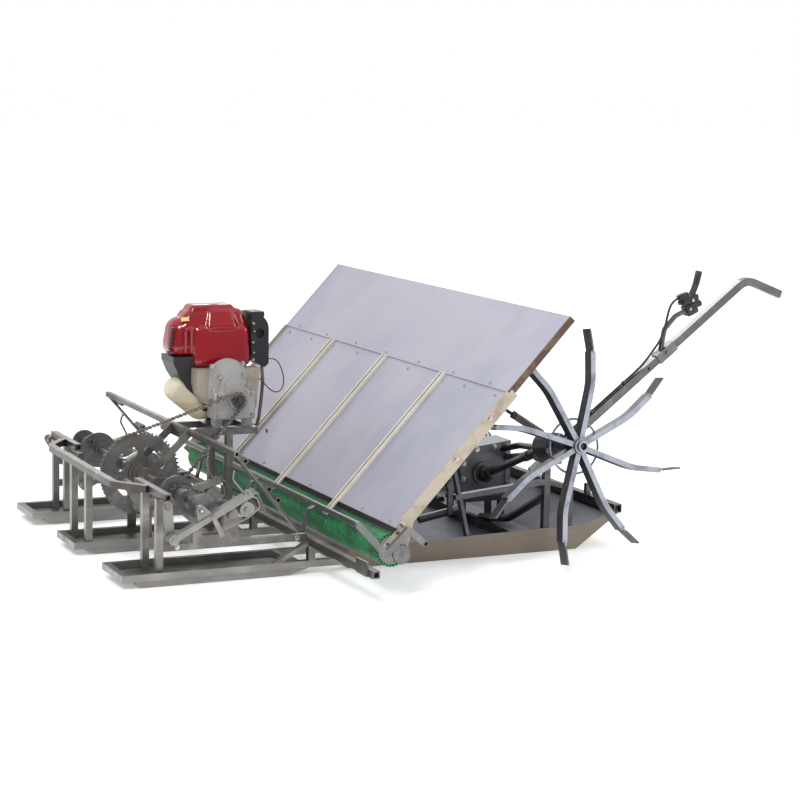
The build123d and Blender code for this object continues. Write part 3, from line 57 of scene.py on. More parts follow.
TRAY_UP = Vector((math.cos(TRAY_SLOPE), 0, math.sin(TRAY_SLOPE)))
TRAY_OUT = Vector((-math.sin(TRAY_SLOPE), 0, math.cos(TRAY_SLOPE)))
TRAY_FOOT_X = -451.289 * MM  # of the tray's lower edge
WHEEL_CAMBER = math.radians(9)
SIDES = {"right": -1, "left": 1}
ROWS = range(1, 5)
SQUARE_ON = 0.9  # least cosine of a face that looks along an axis
BALL_JOINT = (75.211 * MM, 119 * MM)  # X and Z of the ball joints on the gearbox
Colour = tuple[int, int, int]  # red, green and blue of a display, from 0 to 255
Point = tuple[float, float, float]
Test = Callable[[Vector, Vector], bool]
Step = Callable[[], object]
Inputs = dict[str, object]
Piece = bpy.types.Object
Material = bpy.types.Material
Palette = dict[str, Material]


def linear(colour: Colour) -> tuple[float, ...]:
    """Linear colour, with its alpha, of a display colour."""
    channels = [value / 255 for value in colour]
    return (*(c / 12.92 if c <= 0.04045 else ((c + 0.055) / 1.055) ** 2.4 for c in channels), 1.0)


def drawn(x: float, y: float, z: float) -> Point:
    """Place in metres of a point of the drawing in millimetres."""
    return (x * MM + SHIFT_X, y * MM, z * MM)


# ---- shader helpers


def maths(operation: str, swapped: bool = False) -> Callable[..., "Value"]:
    """Makes a method of Value that adds a Math node.

    Args:
        operation: the node's operation.
        swapped: whether the value itself comes last.
    Returns:
        The method, which gives the node's result.
    """

    def method(value: "Value", *others: object) -> "Value":
        """Adds the node."""
        inputs = (*others, value) if swapped else (value, *others)
        return value.recipe.node("ShaderNodeMath", {"operation": operation}, dict(enumerate(inputs)))

    return method


class Value:
    """One shader output that can be used in arithmetic."""

    def __init__(self, recipe: "Recipe", socket: bpy.types.NodeSocket) -> None:
        """Wraps a socket of a recipe's node tree."""
        self.recipe = recipe
        self.socket = socket

    __add__ = maths("ADD")
    __sub__ = maths("SUBTRACT")
    __rsub__ = maths("SUBTRACT", swapped=True)
    __mul__ = maths("MULTIPLY")
    __abs__ = maths("ABSOLUTE")
    above = maths("GREATER_THAN")
    below = maths("LESS_THAN")
    most = maths("MAXIMUM")
    least = maths("MINIMUM")
    sine = maths("SINE")
    angle_from = maths("ARCTAN2")  # the angle with this as its sine side and the other as its cosine side

    def ease(self, low: float, high: float) -> "Value":
        """0 below low, 1 above high, and a smooth step between."""
        settings = {"interpolation_type": "SMOOTHSTEP"}
        values = {"Value": self, "From Min": low, "From Max": high, "To Min": 0.0, "To Max": 1.0}
        return self.recipe.node("ShaderNodeMapRange", settings, values)


class Recipe:
    """Builds one material out of nodes."""

    def __init__(self, name: str) -> None:
        """Starts an empty material with its surface shader."""
        self.material = bpy.data.materials.new(name)
        self.material.use_nodes = True
        self.tree = self.material.node_tree
        self.tree.nodes.clear()
        self.shader = self.tree.nodes.new("ShaderNodeBsdfPrincipled")
        output = self.tree.nodes.new("ShaderNodeOutputMaterial")
        self.tree.links.new(self.shader.outputs["BSDF"], output.inputs["Surface"])

    def node(self, kind: str, settings: dict, values: dict, output: object = 0) -> Value:
        """Adds a node.

        Args:
            kind: the node's type.
            settings: attributes that are set first.
            values: numbers, colours or links for its inputs, by name or index.
            output: name or index of the result.
        Returns:
            The chosen output.
        """
        made = self.tree.nodes.new(kind)
        for key, value in settings.items():
            setattr(made, key, value)
        for key, value in values.items():
            self.put(made.inputs[key], value)
        return Value(self, made.outputs[output])

    def put(self, socket: bpy.types.NodeSocket, value: object) -> None:
        """Sets or links one input."""
        if isinstance(value, Value):
            self.tree.links.new(value.socket, socket)
        else:
            socket.default_value = linear(value) if socket.type == "RGBA" else value

    def place(self, stretch: Point = (1, 1, 1)) -> Value:
        """Object coordinates, stretched along each axis."""
        raw = self.node("ShaderNodeTexCoord", {}, {}, "Object")
        return self.node("ShaderNodeMapping", {}, {"Vector": raw, "Scale": stretch})

    def split(self, source: str) -> list[Value]:
        """The X, Y and Z of one of the coordinate node's outputs."""
        raw = self.node("ShaderNodeTexCoord", {}, {}, source)
        parts = self.node("ShaderNodeSeparateXYZ", {}, {0: raw})
        return [Value(self, output) for output in parts.socket.node.outputs]

    def axes(self) -> list[Value]:
        """The object's X, Y and Z in metres."""
        return self.split("Object")

    def facing(self) -> list[Value]:
        """The surface's own direction along X, Y and Z."""
        return self.split("Normal")

    def noise(self, scale: float, detail: float = 3.0, stretch: Point = (1, 1, 1)) -> Value:
        """Cloudy noise from 0 to 1."""
        values = {"Vector": self.place(stretch), "Scale": scale, "Detail": detail, "Roughness": 0.6}
        return self.node("ShaderNodeTexNoise", {}, values, "Fac")

    def blend(self, factor: object, first: object, second: object) -> Value:
        """Mix of two colours."""
        values = {"Factor": factor, 6: first, 7: second}
        return self.node("ShaderNodeMix", {"data_type": "RGBA"}, values, 2)

    def bump(self, height: Value, strength: float, distance: float) -> Value:
        """Bumped normal from a height."""
        values = {"Height": height, "Strength": strength, "Distance": distance}
        return self.node("ShaderNodeBump", {}, values, "Normal")

    def surface(self, **inputs: object) -> Material:
        """Feeds the shader's inputs.

        Args:
            inputs: values by the shader's socket names with underscores for spaces.
        Returns:
            The finished material.
        """
        for key, value in inputs.items():
            self.put(self.shader.inputs[key.replace("_", " ")], value)
        return self.material


# ---- finishes


@dataclass(frozen=True)
class Finish:
    """A named material. Lengths are in metres and noise scales are per metre."""

    name: str

    def build(self) -> Material:
        """Makes the material."""
        recipe = Recipe(self.name)
        return recipe.surface(**self.paint(recipe))

    def paint(self, recipe: Recipe) -> Inputs:
        """Works out the surface.

        Args:
            recipe: builds the nodes.
        Returns:
            The shader's inputs by name, with underscores for spaces.
        """
        raise NotImplementedError


@dataclass(frozen=True)
class WornMetal(Finish):
    """Bare or thinly painted metal with stains, streaks, rubbed patches and painted shade on the faces that look along
    one axis.
    """

    colour: Colour
    stain: Colour
    pale: Colour
    stain_share: float = 0.5
    metallic: float = 0.45
    roughness: float = 0.45
    streak: Point = (1, 1, 1)
    relief: float = 0.12
    side_shade: float = 0.62  # how much painted shade darkens the faces that look along the shaded axis
    dark_axis: int = 0

    def paint(self, recipe: Recipe) -> Inputs:
        """Works out the surface."""
        broad = recipe.noise(7.0, 2.5, self.streak)
        fine = recipe.noise(140.0, 4.0, self.streak)
        stained = (broad * 0.96 + fine * 0.04).ease(0.98 - self.stain_share, 1.2 - self.stain_share)
        rubbed = recipe.noise(26.0, 3.0, self.streak).ease(0.42, 0.78)
        # painted shade: faces that look along the shaded axis are blended towards near-black, as if turned from the
        # light
        shaded = abs(recipe.facing()[self.dark_axis]).ease(0.3, 0.9)
        colour = recipe.blend(rubbed * 0.28, self.colour, self.pale)
        colour = recipe.blend(shaded * self.side_shade, colour, (34, 33, 34))
        colour = recipe.blend(stained * 0.55, colour, self.stain)
        return dict(
            Base_Color=colour,
            Metallic=self.metallic - stained * (self.metallic * 0.6),
            Roughness=stained * 0.22 + fine * 0.12 + (self.roughness - 0.08),
            Normal=recipe.bump(fine * 0.4 + broad, self.relief, 0.0003),
        )


@dataclass(frozen=True)
class TraySheet(Finish):
    """Pale rolled sheet whose folded side edges are a different tint."""

    edge: Colour
    middle_y: float
    half_width: float
    colour: Colour = (176, 175, 188)
    shade: Colour = (150, 153, 174)
    warm: Colour = (184, 178, 180)

    def paint(self, recipe: Recipe) -> Inputs:
        """Works out the surface."""
        _, across, _ = recipe.axes()
        cloud = recipe.noise(2.6, 3.0).ease(0.35, 0.7)
        streak = recipe.noise(5.0, 4.0, (1, 6, 1)).ease(0.45, 0.8)
        fine = recipe.noise(260.0, 3.0, (1, 5, 1))
        specks = recipe.noise(90.0, 2.0).ease(0.72, 0.78)
        colour = recipe.blend(cloud * 0.75, self.colour, self.shade)
        colour = recipe.blend(streak * 0.4, colour, self.warm)
        colour = recipe.blend(specks * 0.3, colour, (112, 104, 98))
        at_edge = abs(across - self.middle_y).above(self.half_width)
        dirt = recipe.noise(34.0, 4.0).ease(0.45, 0.7)
        edge = recipe.blend(dirt * 0.5, self.edge, (132, 112, 92))
        colour = recipe.blend(at_edge, colour, edge)
        return dict(
            Base_Color=colour,
            Metallic=0.35 - at_edge * 0.2,
            Roughness=fine * 0.12 + cloud * 0.08 + 0.33,
            Normal=recipe.bump(fine * 0.3 + cloud * 2.0, 0.12, 0.0012),
        )


@dataclass(frozen=True)
class RibSheet(Finish):
    """Folded sheet ribs: the tray's tint down the middle and cream along both edges."""

    middle_y: float
    reach: float
    width: float = 20 * MM

    def paint(self, recipe: Recipe) -> Inputs:
        """Works out the surface."""
        _, across, _ = recipe.axes()
        away = abs(across - self.middle_y)
        nearest = away.least(abs(away - (self.reach - self.width / 2)))
        edge = nearest.ease(self.width * 0.2, self.width * 0.34)
        cloud = recipe.noise(18.0, 4.0).ease(0.4, 0.7)
        middle = recipe.blend(cloud * 0.5, (176, 172, 168), (150, 142, 134))
        cream = recipe.blend(cloud * 0.4, (228, 221, 204), (196, 186, 166))
        return dict(
            Base_Color=recipe.blend(edge, middle, cream),
            Roughness=cloud * 0.15 + 0.4,
            Normal=recipe.bump(1 - edge, 0.6, 0.002),
        )


@dataclass(frozen=True)
class Moulding(Finish):
    """Moulded plastic or paint with a fine grain."""

    colour: Colour
    shade: Colour
    roughness: float = 0.5
    coat: float = 0.0
    grain: float = 600.0
    relief: float = 0.15

    def paint(self, recipe: Recipe) -> Inputs:
        """Works out the surface."""
        cloud = recipe.noise(9.0, 3.0).ease(0.4, 0.75)
        grain = recipe.noise(self.grain, 2.0)
        dust = recipe.noise(40.0, 5.0).ease(0.6, 0.85)
        colour = recipe.blend(cloud * 0.6, self.colour, self.shade)
        colour = recipe.blend(dust * 0.12, colour, (150, 140, 128))
        return dict(
            Base_Color=colour,
            Roughness=grain * 0.1 + dust * 0.15 + (self.roughness - 0.05),
            Coat_Weight=self.coat,
            Coat_Roughness=0.08,
            Normal=recipe.bump(grain, self.relief, 0.0002),
        )


@dataclass(frozen=True)
class Cast(Finish):
    """Sand-cast alloy or iron."""

    colour: Colour
    dark: Colour
    metallic: float = 0.4
    roughness: float = 0.52

    def paint(self, recipe: Recipe) -> Inputs:
        """Works out the surface."""
        grain = recipe.noise(420.0, 4.0)
        pits = recipe.noise(150.0, 3.0).ease(0.55, 0.8)
        grime = recipe.noise(16.0, 5.0).ease(0.48, 0.78)
        colour = recipe.blend(pits * 0.35, self.colour, self.dark)
        colour = recipe.blend(grime * 0.5, colour, self.dark)
        return dict(
            Base_Color=colour,
            Metallic=self.metallic - grime * (self.metallic * 0.5),
            Roughness=grain * 0.16 + grime * 0.12 + (self.roughness - 0.1),
            Normal=recipe.bump(grain + pits, 0.35, 0.0005),
        )


@dataclass(frozen=True)
class WovenMesh(Finish):
    """Green mesh wound on the feed roller."""

    axis_x: float
    axis_z: float
    radius: float
    shaft: float = 30 * MM
    pitch: float = 8.0 * MM

    def paint(self, recipe: Recipe) -> Inputs:
        """Works out the surface."""
        along_x, along_y, along_z = recipe.axes()
        x, z = along_x - self.axis_x, along_z - self.axis_z
        turn = math.pi / self.pitch
        round_it = z.angle_from(x) * self.radius
        ridge_one = abs(((along_y + round_it) * turn).sine())
        ridge_two = abs(((along_y - round_it) * turn).sine())
        weave = ridge_one.most(ridge_two)
        thread = weave.ease(0.74, 0.97)
        cloud = recipe.noise(11.0, 5.0).ease(0.35, 0.7)
        colour = recipe.blend(cloud, (24, 156, 88), (8, 96, 52))
        # painted shade: the gaps between the threads are darkened to near-black
        colour = recipe.blend(1 - thread, colour, (2, 30, 20))
        worn = recipe.noise(210.0, 3.0, (1, 0.5, 1)).ease(0.56, 0.7)
        colour = recipe.blend(worn * 0.55, colour, (128, 168, 140))
        colour = recipe.blend((x * x + z * z).below(self.shaft**2), colour, (138, 136, 132))
        return dict(
            Base_Color=colour,
            Roughness=0.72 - thread * 0.2,
            Normal=recipe.bump(weave, 0.8, 0.001),
        )


@dataclass(frozen=True)
class SpokeSteel(Finish):
    """Flat bar with painted light on its broad faces and painted shade, with some dirt, on its edges; its paddles are
    darker, with painted shade on their edges.
    """

    hub: Point
    paddle_from: float

    def paint(self, recipe: Recipe) -> Inputs:
        """Works out the surface."""
        along_x, _, along_z = recipe.axes()
        _, out, _ = recipe.facing()
        dx, dz = along_x - self.hub[0], along_z - self.hub[2]
        far = (dx * dx + dz * dz).above(self.paddle_from**2)
        # painted light and shade: faces that look along the axle are painted bright and more metallic, the others dark
        bright = abs(out).ease(0.55, 0.75)
        cloud = recipe.noise(22.0, 5.0).ease(0.4, 0.75)
        fine = recipe.noise(240.0, 3.0)
        face = recipe.blend(cloud, (176, 181, 194), (118, 122, 134))
        edge = recipe.blend(cloud * 0.5, (46, 46, 50), (78, 74, 72))
        colour = recipe.blend(bright, edge, face)
        paddle = recipe.blend(cloud * 0.5, (112, 112, 112), (74, 72, 70))
        # painted shade on the paddles' edges
        paddle = recipe.blend(bright, (40, 40, 42), paddle)
        colour = recipe.blend(far, colour, paddle)
        return dict(
            Base_Color=colour,
            Metallic=bright * 0.35 + 0.1,
            Roughness=cloud * 0.14 + fine * 0.1 + 0.36,
            Normal=recipe.bump(fine + cloud, 0.2, 0.0005),
        )


@dataclass(frozen=True)
class HullSheet(Finish):
    """Pressed steel pan: taupe outside, dark blue-grey inside."""

    rear_x: float

    def paint(self, recipe: Recipe) -> Inputs:
        """Works out the surface."""
        along_x, across, _ = recipe.axes()
        face_x, face_y, face_z = recipe.facing()
        inner_side = (face_y * across).below(-0.1)
        inner_floor = face_z.above(0.5)
        inner_rear = face_x.above(0.5) * along_x.below(self.rear_x + 0.05)
        inside = inner_side.most(inner_floor).most(inner_rear)
        cloud = recipe.noise(5.0, 5.0).ease(0.35, 0.7)
        fine = recipe.noise(160.0, 4.0)
        scratch = recipe.noise(30.0, 4.0, (0.3, 1, 3)).ease(0.62, 0.75)
        outer = recipe.blend(cloud * 0.7, (134, 123, 109), (116, 106, 94))
        outer = recipe.blend(scratch * 0.5, outer, (166, 158, 146))
        inner = recipe.blend(cloud * 0.7, (84, 90, 101), (60, 62, 68))
        inner = recipe.blend(scratch * 0.6, inner, (112, 104, 96))
        return dict(
            Base_Color=recipe.blend(inside, outer, inner),
            Metallic=0.25,
            Roughness=cloud * 0.12 + fine * 0.12 + 0.42,
            Normal=recipe.bump(fine + cloud * 0.7, 0.22, 0.0006),
        )


@dataclass(frozen=True)
class TankPlastic(Finish):
    """Milky plastic tank with the level of its fuel showing through."""

    level_z: float

    def paint(self, recipe: Recipe) -> Inputs:
        """Works out the surface."""
        _, _, height = recipe.axes()
        cloud = recipe.noise(12.0, 3.0).ease(0.4, 0.75)
        grain = recipe.noise(500.0, 2.0)
        full = 1 - height.ease(self.level_z - 0.004, self.level_z + 0.004)
        colour = recipe.blend(cloud * 0.6, (228, 219, 196), (208, 196, 168))
        colour = recipe.blend(full * 0.5, colour, (198, 178, 136))
        return dict(
            Base_Color=colour,
            Roughness=grain * 0.12 + 0.36,
            Subsurface_Weight=0.25,
            Subsurface_Radius=(0.02, 0.014, 0.008),
            Normal=recipe.bump(grain, 0.15, 0.0003),
        )


# ---- mesh helpers


class Start(Enum):
    """Primitive that a piece starts from."""

    BLOCK = "block"
    ROUND = "round"


def select(*pieces: Piece) -> None:
    """Leaves only these selected, with the first one active."""
    if bpy.context.mode != "OBJECT":
        bpy.ops.object.mode_set(mode="OBJECT")
    bpy.ops.object.select_all(action="DESELECT")
    for piece in pieces:
        piece.select_set(True)
    if pieces:
        bpy.context.view_layer.objects.active = pieces[0]


def primitive(start: Start, place: Point, size: Point, sides: int = 24) -> Piece:
    """Adds a primitive. A round one has its axis along Y.

    Args:
        start: which primitive.
        place: its centre.
        size: its extents along X, Y and Z.
        sides: sides of a round one.
    Returns:
        The new object, with its size and place in its mesh.
    """
    select()
    if start is Start.BLOCK:
        bpy.ops.mesh.primitive_cube_add(size=1, location=place)
        scale = size
    else:
        bpy.ops.mesh.primitive_cylinder_add(
            radius=0.5, depth=1, vertices=sides, location=place, rotation=(math.pi / 2, 0, 0)
        )
        scale = (size[0], size[2], size[1])
    made = bpy.context.active_object
    made.scale = scale
    bpy.ops.object.transform_apply(location=True, rotation=True, scale=True)
    return made


def block(place: Point, size: Point) -> Piece:
    """Block at a place in metres, with its size in millimetres."""
    return primitive(Start.BLOCK, place, tuple(side * MM for side in size))


def disc(place: Point, radius: float, depth: float, sides: int = 24) -> Piece:
    """Disc about Y at a place in metres, with its radius and depth in millimetres."""
    return primitive(Start.ROUND, place, (2 * radius * MM, depth * MM, 2 * radius * MM), sides)


def pick(made: Piece, test: Test) -> int:
    """Selects the faces whose centre and normal pass a test.

    Args:
        made: the object, in object mode.
        test: takes a face's centre and normal.
    Returns:
        How many faces are selected.
    """
    bpy.context.tool_settings.mesh_select_mode = (False, False, True)
    mesh = made.data
    for group in (mesh.vertices, mesh.edges):
        for item in group:
            item.select = False
    count = 0
    for face in mesh.polygons:
        face.select = bool(test(face.center, face.normal))
        count += face.select
    return count


def shape(made: Piece, test: Test, *steps: Step) -> Piece:
    """Runs edit-mode steps on the faces that pass a test. The piece is the only one selected."""
    bpy.context.view_layer.objects.active = made
    if pick(made, test):
        bpy.ops.object.mode_set(mode="EDIT")
        for step in steps:
            step()
        bpy.ops.object.mode_set(mode="OBJECT")
    return made


def inset(width: float) -> Step:
    """Step that insets the selection by millimetres."""
    return lambda: bpy.ops.mesh.inset(thickness=width * MM, depth=0)


def push(distance: float, axis: int = 1) -> Step:
    """Step that extrudes the selection by millimetres along an axis."""
    offset = [distance * MM if number == axis else 0 for number in range(3)]
    return lambda: bpy.ops.mesh.extrude_region_move(TRANSFORM_OT_translate={"value": offset})


def move(x: float, y: float) -> Step:
    """Step that moves the selection by millimetres."""
    return lambda: bpy.ops.transform.translate(value=(x * MM, y * MM, 0))


def narrow(scale: Point, about: Point) -> Step:
    """Step that scales the selection about a point."""
    return lambda: bpy.ops.transform.resize(value=scale, center_override=about)


def soften(width: float, segments: int) -> Step:
    """Step that bevels the selection's edges, in millimetres."""
    return lambda: bpy.ops.mesh.bevel(offset=width * MM, segments=segments, affect="EDGES")


def looking(axis: int, sign: int) -> Test:
    """Test for the faces that look one way along an axis."""
    return lambda _centre, normal: normal[axis] * sign > SQUARE_ON


def all_but_base(_centre: Vector, normal: Vector) -> bool:
    """Passes every face but those that look down."""
    return normal.z > -SQUARE_ON


FRONT = looking(1, -1)


def tidy(made: Piece, angle: float = 35.0) -> Piece:
    """Merges doubles, turns faces outwards and smooths by an angle in degrees."""
    select(made)
    bpy.ops.object.mode_set(mode="EDIT")
    bpy.ops.mesh.select_all(action="SELECT")
    bpy.ops.mesh.remove_doubles(threshold=0.01 * MM)
    bpy.ops.mesh.normals_make_consistent(inside=False)
    bpy.ops.object.mode_set(mode="OBJECT")
    bpy.ops.object.shade_smooth_by_angle(angle=math.radians(angle))
    return made


def merge(name: str, pieces: Sequence[Piece]) -> Piece:
    """Joins finished pieces into one object."""
    select(*pieces)
    if len(pieces) > 1:
        bpy.ops.object.join()
    joined = bpy.context.active_object
    joined.name = name
    return joined


def stand(name: str, data: bpy.types.ID) -> Piece:
    """Puts new data into the scene as an object."""
    made = bpy.data.objects.new(name, data)
    bpy.context.scene.collection.objects.link(made)
    return made


def scatter(name: str, pattern: Piece, places: Iterable[Matrix]) -> Piece:
    """Copies a pattern to each place, joins the copies and deletes the pattern.

    Args:
        name: the joined object's name.
        pattern: a finished object at the origin.
        places: where each copy goes.
    Returns:
        The joined object.
    """
    copies = []
    for place in places:
        mesh = pattern.data.copy()
        mesh.transform(place)
        copies.append(stand(name, mesh))
    bpy.data.objects.remove(pattern)
    return merge(name, copies)


def apply(made: Piece, name: str, kind: str, **settings: object) -> None:
    """Adds a modifier and applies it."""
    select(made)
    modifier = made.modifiers.new(name, kind)
    for key, value in settings.items():
        setattr(modifier, key, value)
    bpy.ops.object.modifier_apply(modifier=name)


def dress(made: Piece, material: Material, body: str) -> Piece:
    """Gives a piece its finish and lets it ride on its body."""
    made.data.materials.clear()
    made.data.materials.append(material)
    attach(made, body)
    LOG.info("%s rides on %s, %d faces", made.name, body, len(made.data.polygons))
    return made


def centre(node: str) -> Vector:
    """Middle of a node's box."""
    low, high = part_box(node)
    return (Vector(low) + Vector(high)) / 2


def joint_place(name: str) -> Vector:
    """A joint's point."""
    return next(Vector(joint["pos_m"]) for joint in frame["joints"] if joint["name"] == name)


def hub(side: str) -> Vector:
    """Middle of a wheel's hub."""
    return joint_place(f"wheel_{side}_spin")


def axle(side: str) -> Vector:
    """Outward direction of a wheel's cambered axle."""
    return Vector((0, SIDES[side] * math.cos(WHEEL_CAMBER), math.sin(WHEEL_CAMBER)))


def aim(direction: Vector, place: Vector, spin: float = 0.0) -> Matrix:
    """Matrix that carries a pattern whose outward axis is -Y to a place and direction."""
    turn = OUTWARD.rotation_difference(direction.normalized()).to_matrix().to_4x4()
    return Matrix.Translation(place) @ turn @ Matrix.Rotation(spin, 4, "Y")


def seat(made: Piece, name: str, direction: Point, place: Point) -> Piece:
    """Smooths a pattern, names it and carries it to its place and direction."""
    tidy(made).data.transform(aim(Vector(direction), Vector(place)))
    made.name = name
    return made


def bolt_head(across: float, washer: float) -> Piece:
    """Hexagon head on its washer, both widths in millimetres, facing -Y, with its seat at Y = 0."""
    height, chamfer = across * 0.42, 0.12
    head = disc((0, -height / 2 * MM, 0), across / 2, height, 6)
    shape(head, FRONT, inset(across * chamfer), push(-height * chamfer))
    plate = disc((0, -0.5 * MM, 0), washer / 2, 1.2, 14)
    shape(plate, FRONT, soften(0.3, 1))
    return tidy(merge("bolt", [head, plate]))


# ---- finishes of the machine


def build_palette() -> Palette:
    """Builds every finish once, by name."""
    roller = centre("feed_roller")
    tray_low, tray_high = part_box("tray_lower")
    middle_y, half = (tray_low[1] + tray_high[1]) / 2, (tray_high[1] - tray_low[1]) / 2
    fold = 3.5 * MM
    # columns of worn metal: colour, stain, rubbed tone, stain share, metallic, roughness
    finishes = [
        WornMetal("frame steel", (118, 115, 111), (70, 60, 50), (204, 200, 192), 0.5, 0.65, 0.36),
        WornMetal("rail steel", (112, 109, 107), (86, 68, 54), (200, 194, 184), 0.48, 0.65, 0.36),
        WornMetal("arm steel", (142, 140, 137), (100, 93, 85), (222, 218, 210), 0.46, 0.6, 0.42, relief=0.03),
        # skids: painted shade on their upward and downward faces, so that their sides stay light
        WornMetal(
            "skid steel", (134, 132, 129), (82, 73, 63), (214, 208, 198), 0.48, 0.6, 0.34,
            streak=(0.4, 2, 1), side_shade=0.72, dark_axis=2,
        ),
        WornMetal("bright steel", (118, 117, 117), (82, 76, 70), (196, 196, 196), 0.46, 0.65, 0.4, relief=0.03),
        WornMetal("dark steel", (84, 84, 88), (44, 40, 38), (150, 148, 146), 0.44, 0.6, 0.36),
        WornMetal("handle paint", (98, 98, 101), (84, 78, 73), (158, 158, 160), 0.3, 0.6, 0.32, (1, 3, 1)),
        WornMetal("chain steel", (160, 154, 144), (76, 64, 54), (216, 210, 202), 0.5, 0.7, 0.3),
        WornMetal("zinc fitting", (186, 184, 178), (104, 92, 74), (230, 230, 228), 0.36, 0.85, 0.26),
        TraySheet("tray sheet", (182, 172, 156), middle_y, half - fold),
        TraySheet("tray top sheet", (84, 62, 50), middle_y, half - fold),
        RibSheet("tray rib", middle_y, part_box("tray_ribs")[1].y - middle_y),
        WovenMesh("green mesh", roller.x, roller.z, 36 * MM),
        Moulding("engine red", (146, 2, 22), (108, 1, 15), 0.2, 0.5, 900.0, 0.03),
        Moulding("engine black", (36, 36, 40), (22, 22, 24), 0.42, 0.0, 500.0, 0.25),
        TankPlastic("tank plastic", centre("fuel_tank").z - 6 * MM),
        Cast("cast alloy", (186, 184, 181), (112, 106, 100), 0.5),
        Cast("crankcase alloy", (176, 168, 154), (112, 102, 90)),
        Cast("case iron", (112, 114, 118), (58, 56, 56), 0.5, 0.4),
        HullSheet("hull sheet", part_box("hull")[0][0]),
        Moulding("rubber", (36, 36, 36), (52, 48, 46), 0.55, 0.0, 300.0, 0.2),
        Moulding("brown sleeve", (116, 98, 82), (84, 70, 60), 0.5, 0.0, 300.0, 0.3),
        Moulding("wire cover", (150, 36, 60), (96, 26, 42), 0.42, 0.2, 300.0, 0.1),
        Moulding("blank label", (226, 206, 120), (214, 192, 110), 0.4),
    ]
    for side in SIDES:
        finishes.append(SpokeSteel(f"spoke steel {side}", tuple(hub(side)), 214 * MM))
    return {finish.name: finish.build() for finish in finishes}


@dataclass
class Coats:
    """Dresses the solid pieces of the machine."""

    palette: Palette
    plain: str = "frame steel"
    # columns: finish, the nodes that wear it, without their row numbers
    table: tuple[tuple[str, str], ...] = (
        ("skid steel", "skids"),
        ("rail steel", "rear_rail side_rails crossbeam top_beam engine_stand"),
        ("bright steel", "crankshaft main_sprocket countershaft handle_sleeve feed_lever ratchet_wheel planting_claw"),
        ("arm steel", "planting_arm rocker"),
        ("dark steel", "engine_sprocket hull_crossmembers side_frames bow_bar idler_arm wheel_housings"),
        ("dark steel", "drive_shafts suspension_arms"),
        ("chain steel", "drive_chain feed_chain"),
        ("handle paint", "retaining_rod handle lever_tube"),
        ("spoke steel right", "wheel_right"),
        ("spoke steel left", "wheel_left"),
        ("hull sheet", "hull"),
        ("case iron", "gearbox"),
        ("rubber", "spring_struts cable_run"),
        ("engine black", "clutch_lever engine_core air_cleaner"),
        ("engine red", "engine_shroud"),
        ("cast alloy", "reduction_housing"),
        ("crankcase alloy", "crankcase_cover"),
        ("tank plastic", "fuel_tank"),
        ("brown sleeve", "throttle_conduit"),
        ("tray sheet", "tray_lower"),
        ("tray top sheet", "tray_upper"),
        ("tray rib", "tray_ribs"),
        ("green mesh", "feed_roller"),
    )

    def build(self) -> None:
        """Gives every node its finish."""
        worn_by = {node: finish for finish, nodes in self.table for node in nodes.split()}
        for name, node in frame["nodes"].items():
            finish = worn_by.get(name.rstrip("_1234"), self.plain)
            node.data.materials.clear()
            node.data.materials.append(self.palette[finish])
            LOG.info("%s wears %s", name, finish)


@dataclass
class Group:
    """Pieces that are made together from one palette."""

    palette: Palette

    def add(self, name: str, pieces: Sequence[Piece], finish: str, slot: str, body: str = "frame") -> Piece:
        """Joins pieces, cleans them up and gives them their finish.

        Args:
            name: the joined piece's name.
            pieces: what is joined.
            finish: its name in the palette.
            slot: not used.
            body: the body it rides on.
        Returns:
            The joined piece.
        """
        return dress(tidy(merge(name, pieces)), self.palette[finish], body)

    def bolts(
        self, name: str, across: float, seats: Sequence[tuple[Point, Point]], body: str = "frame",
        slot: str = "machined_steel", finish: str = "zinc fitting", washer: float = 1.5,
    ) -> Piece:
        """Makes bolts on one body as one piece.

        Args:
            name: the piece's name.
            across: width of a head in millimetres.
            seats: each bolt's place and the way it faces.
            body: the body it rides on.
            slot: not used.
            finish: its name in the palette.
            washer: washer's width over the head's.
        Returns:
            The bolts.
        """
        turn = 0.4  # radians from one head to the next
        places = [aim(Vector(way), Vector(place), turn * number) for number, (place, way) in enumerate(seats)]
        rows = scatter(name, bolt_head(across, across * washer), places)
        return dress(rows, self.palette[finish], body)


# ---- chains


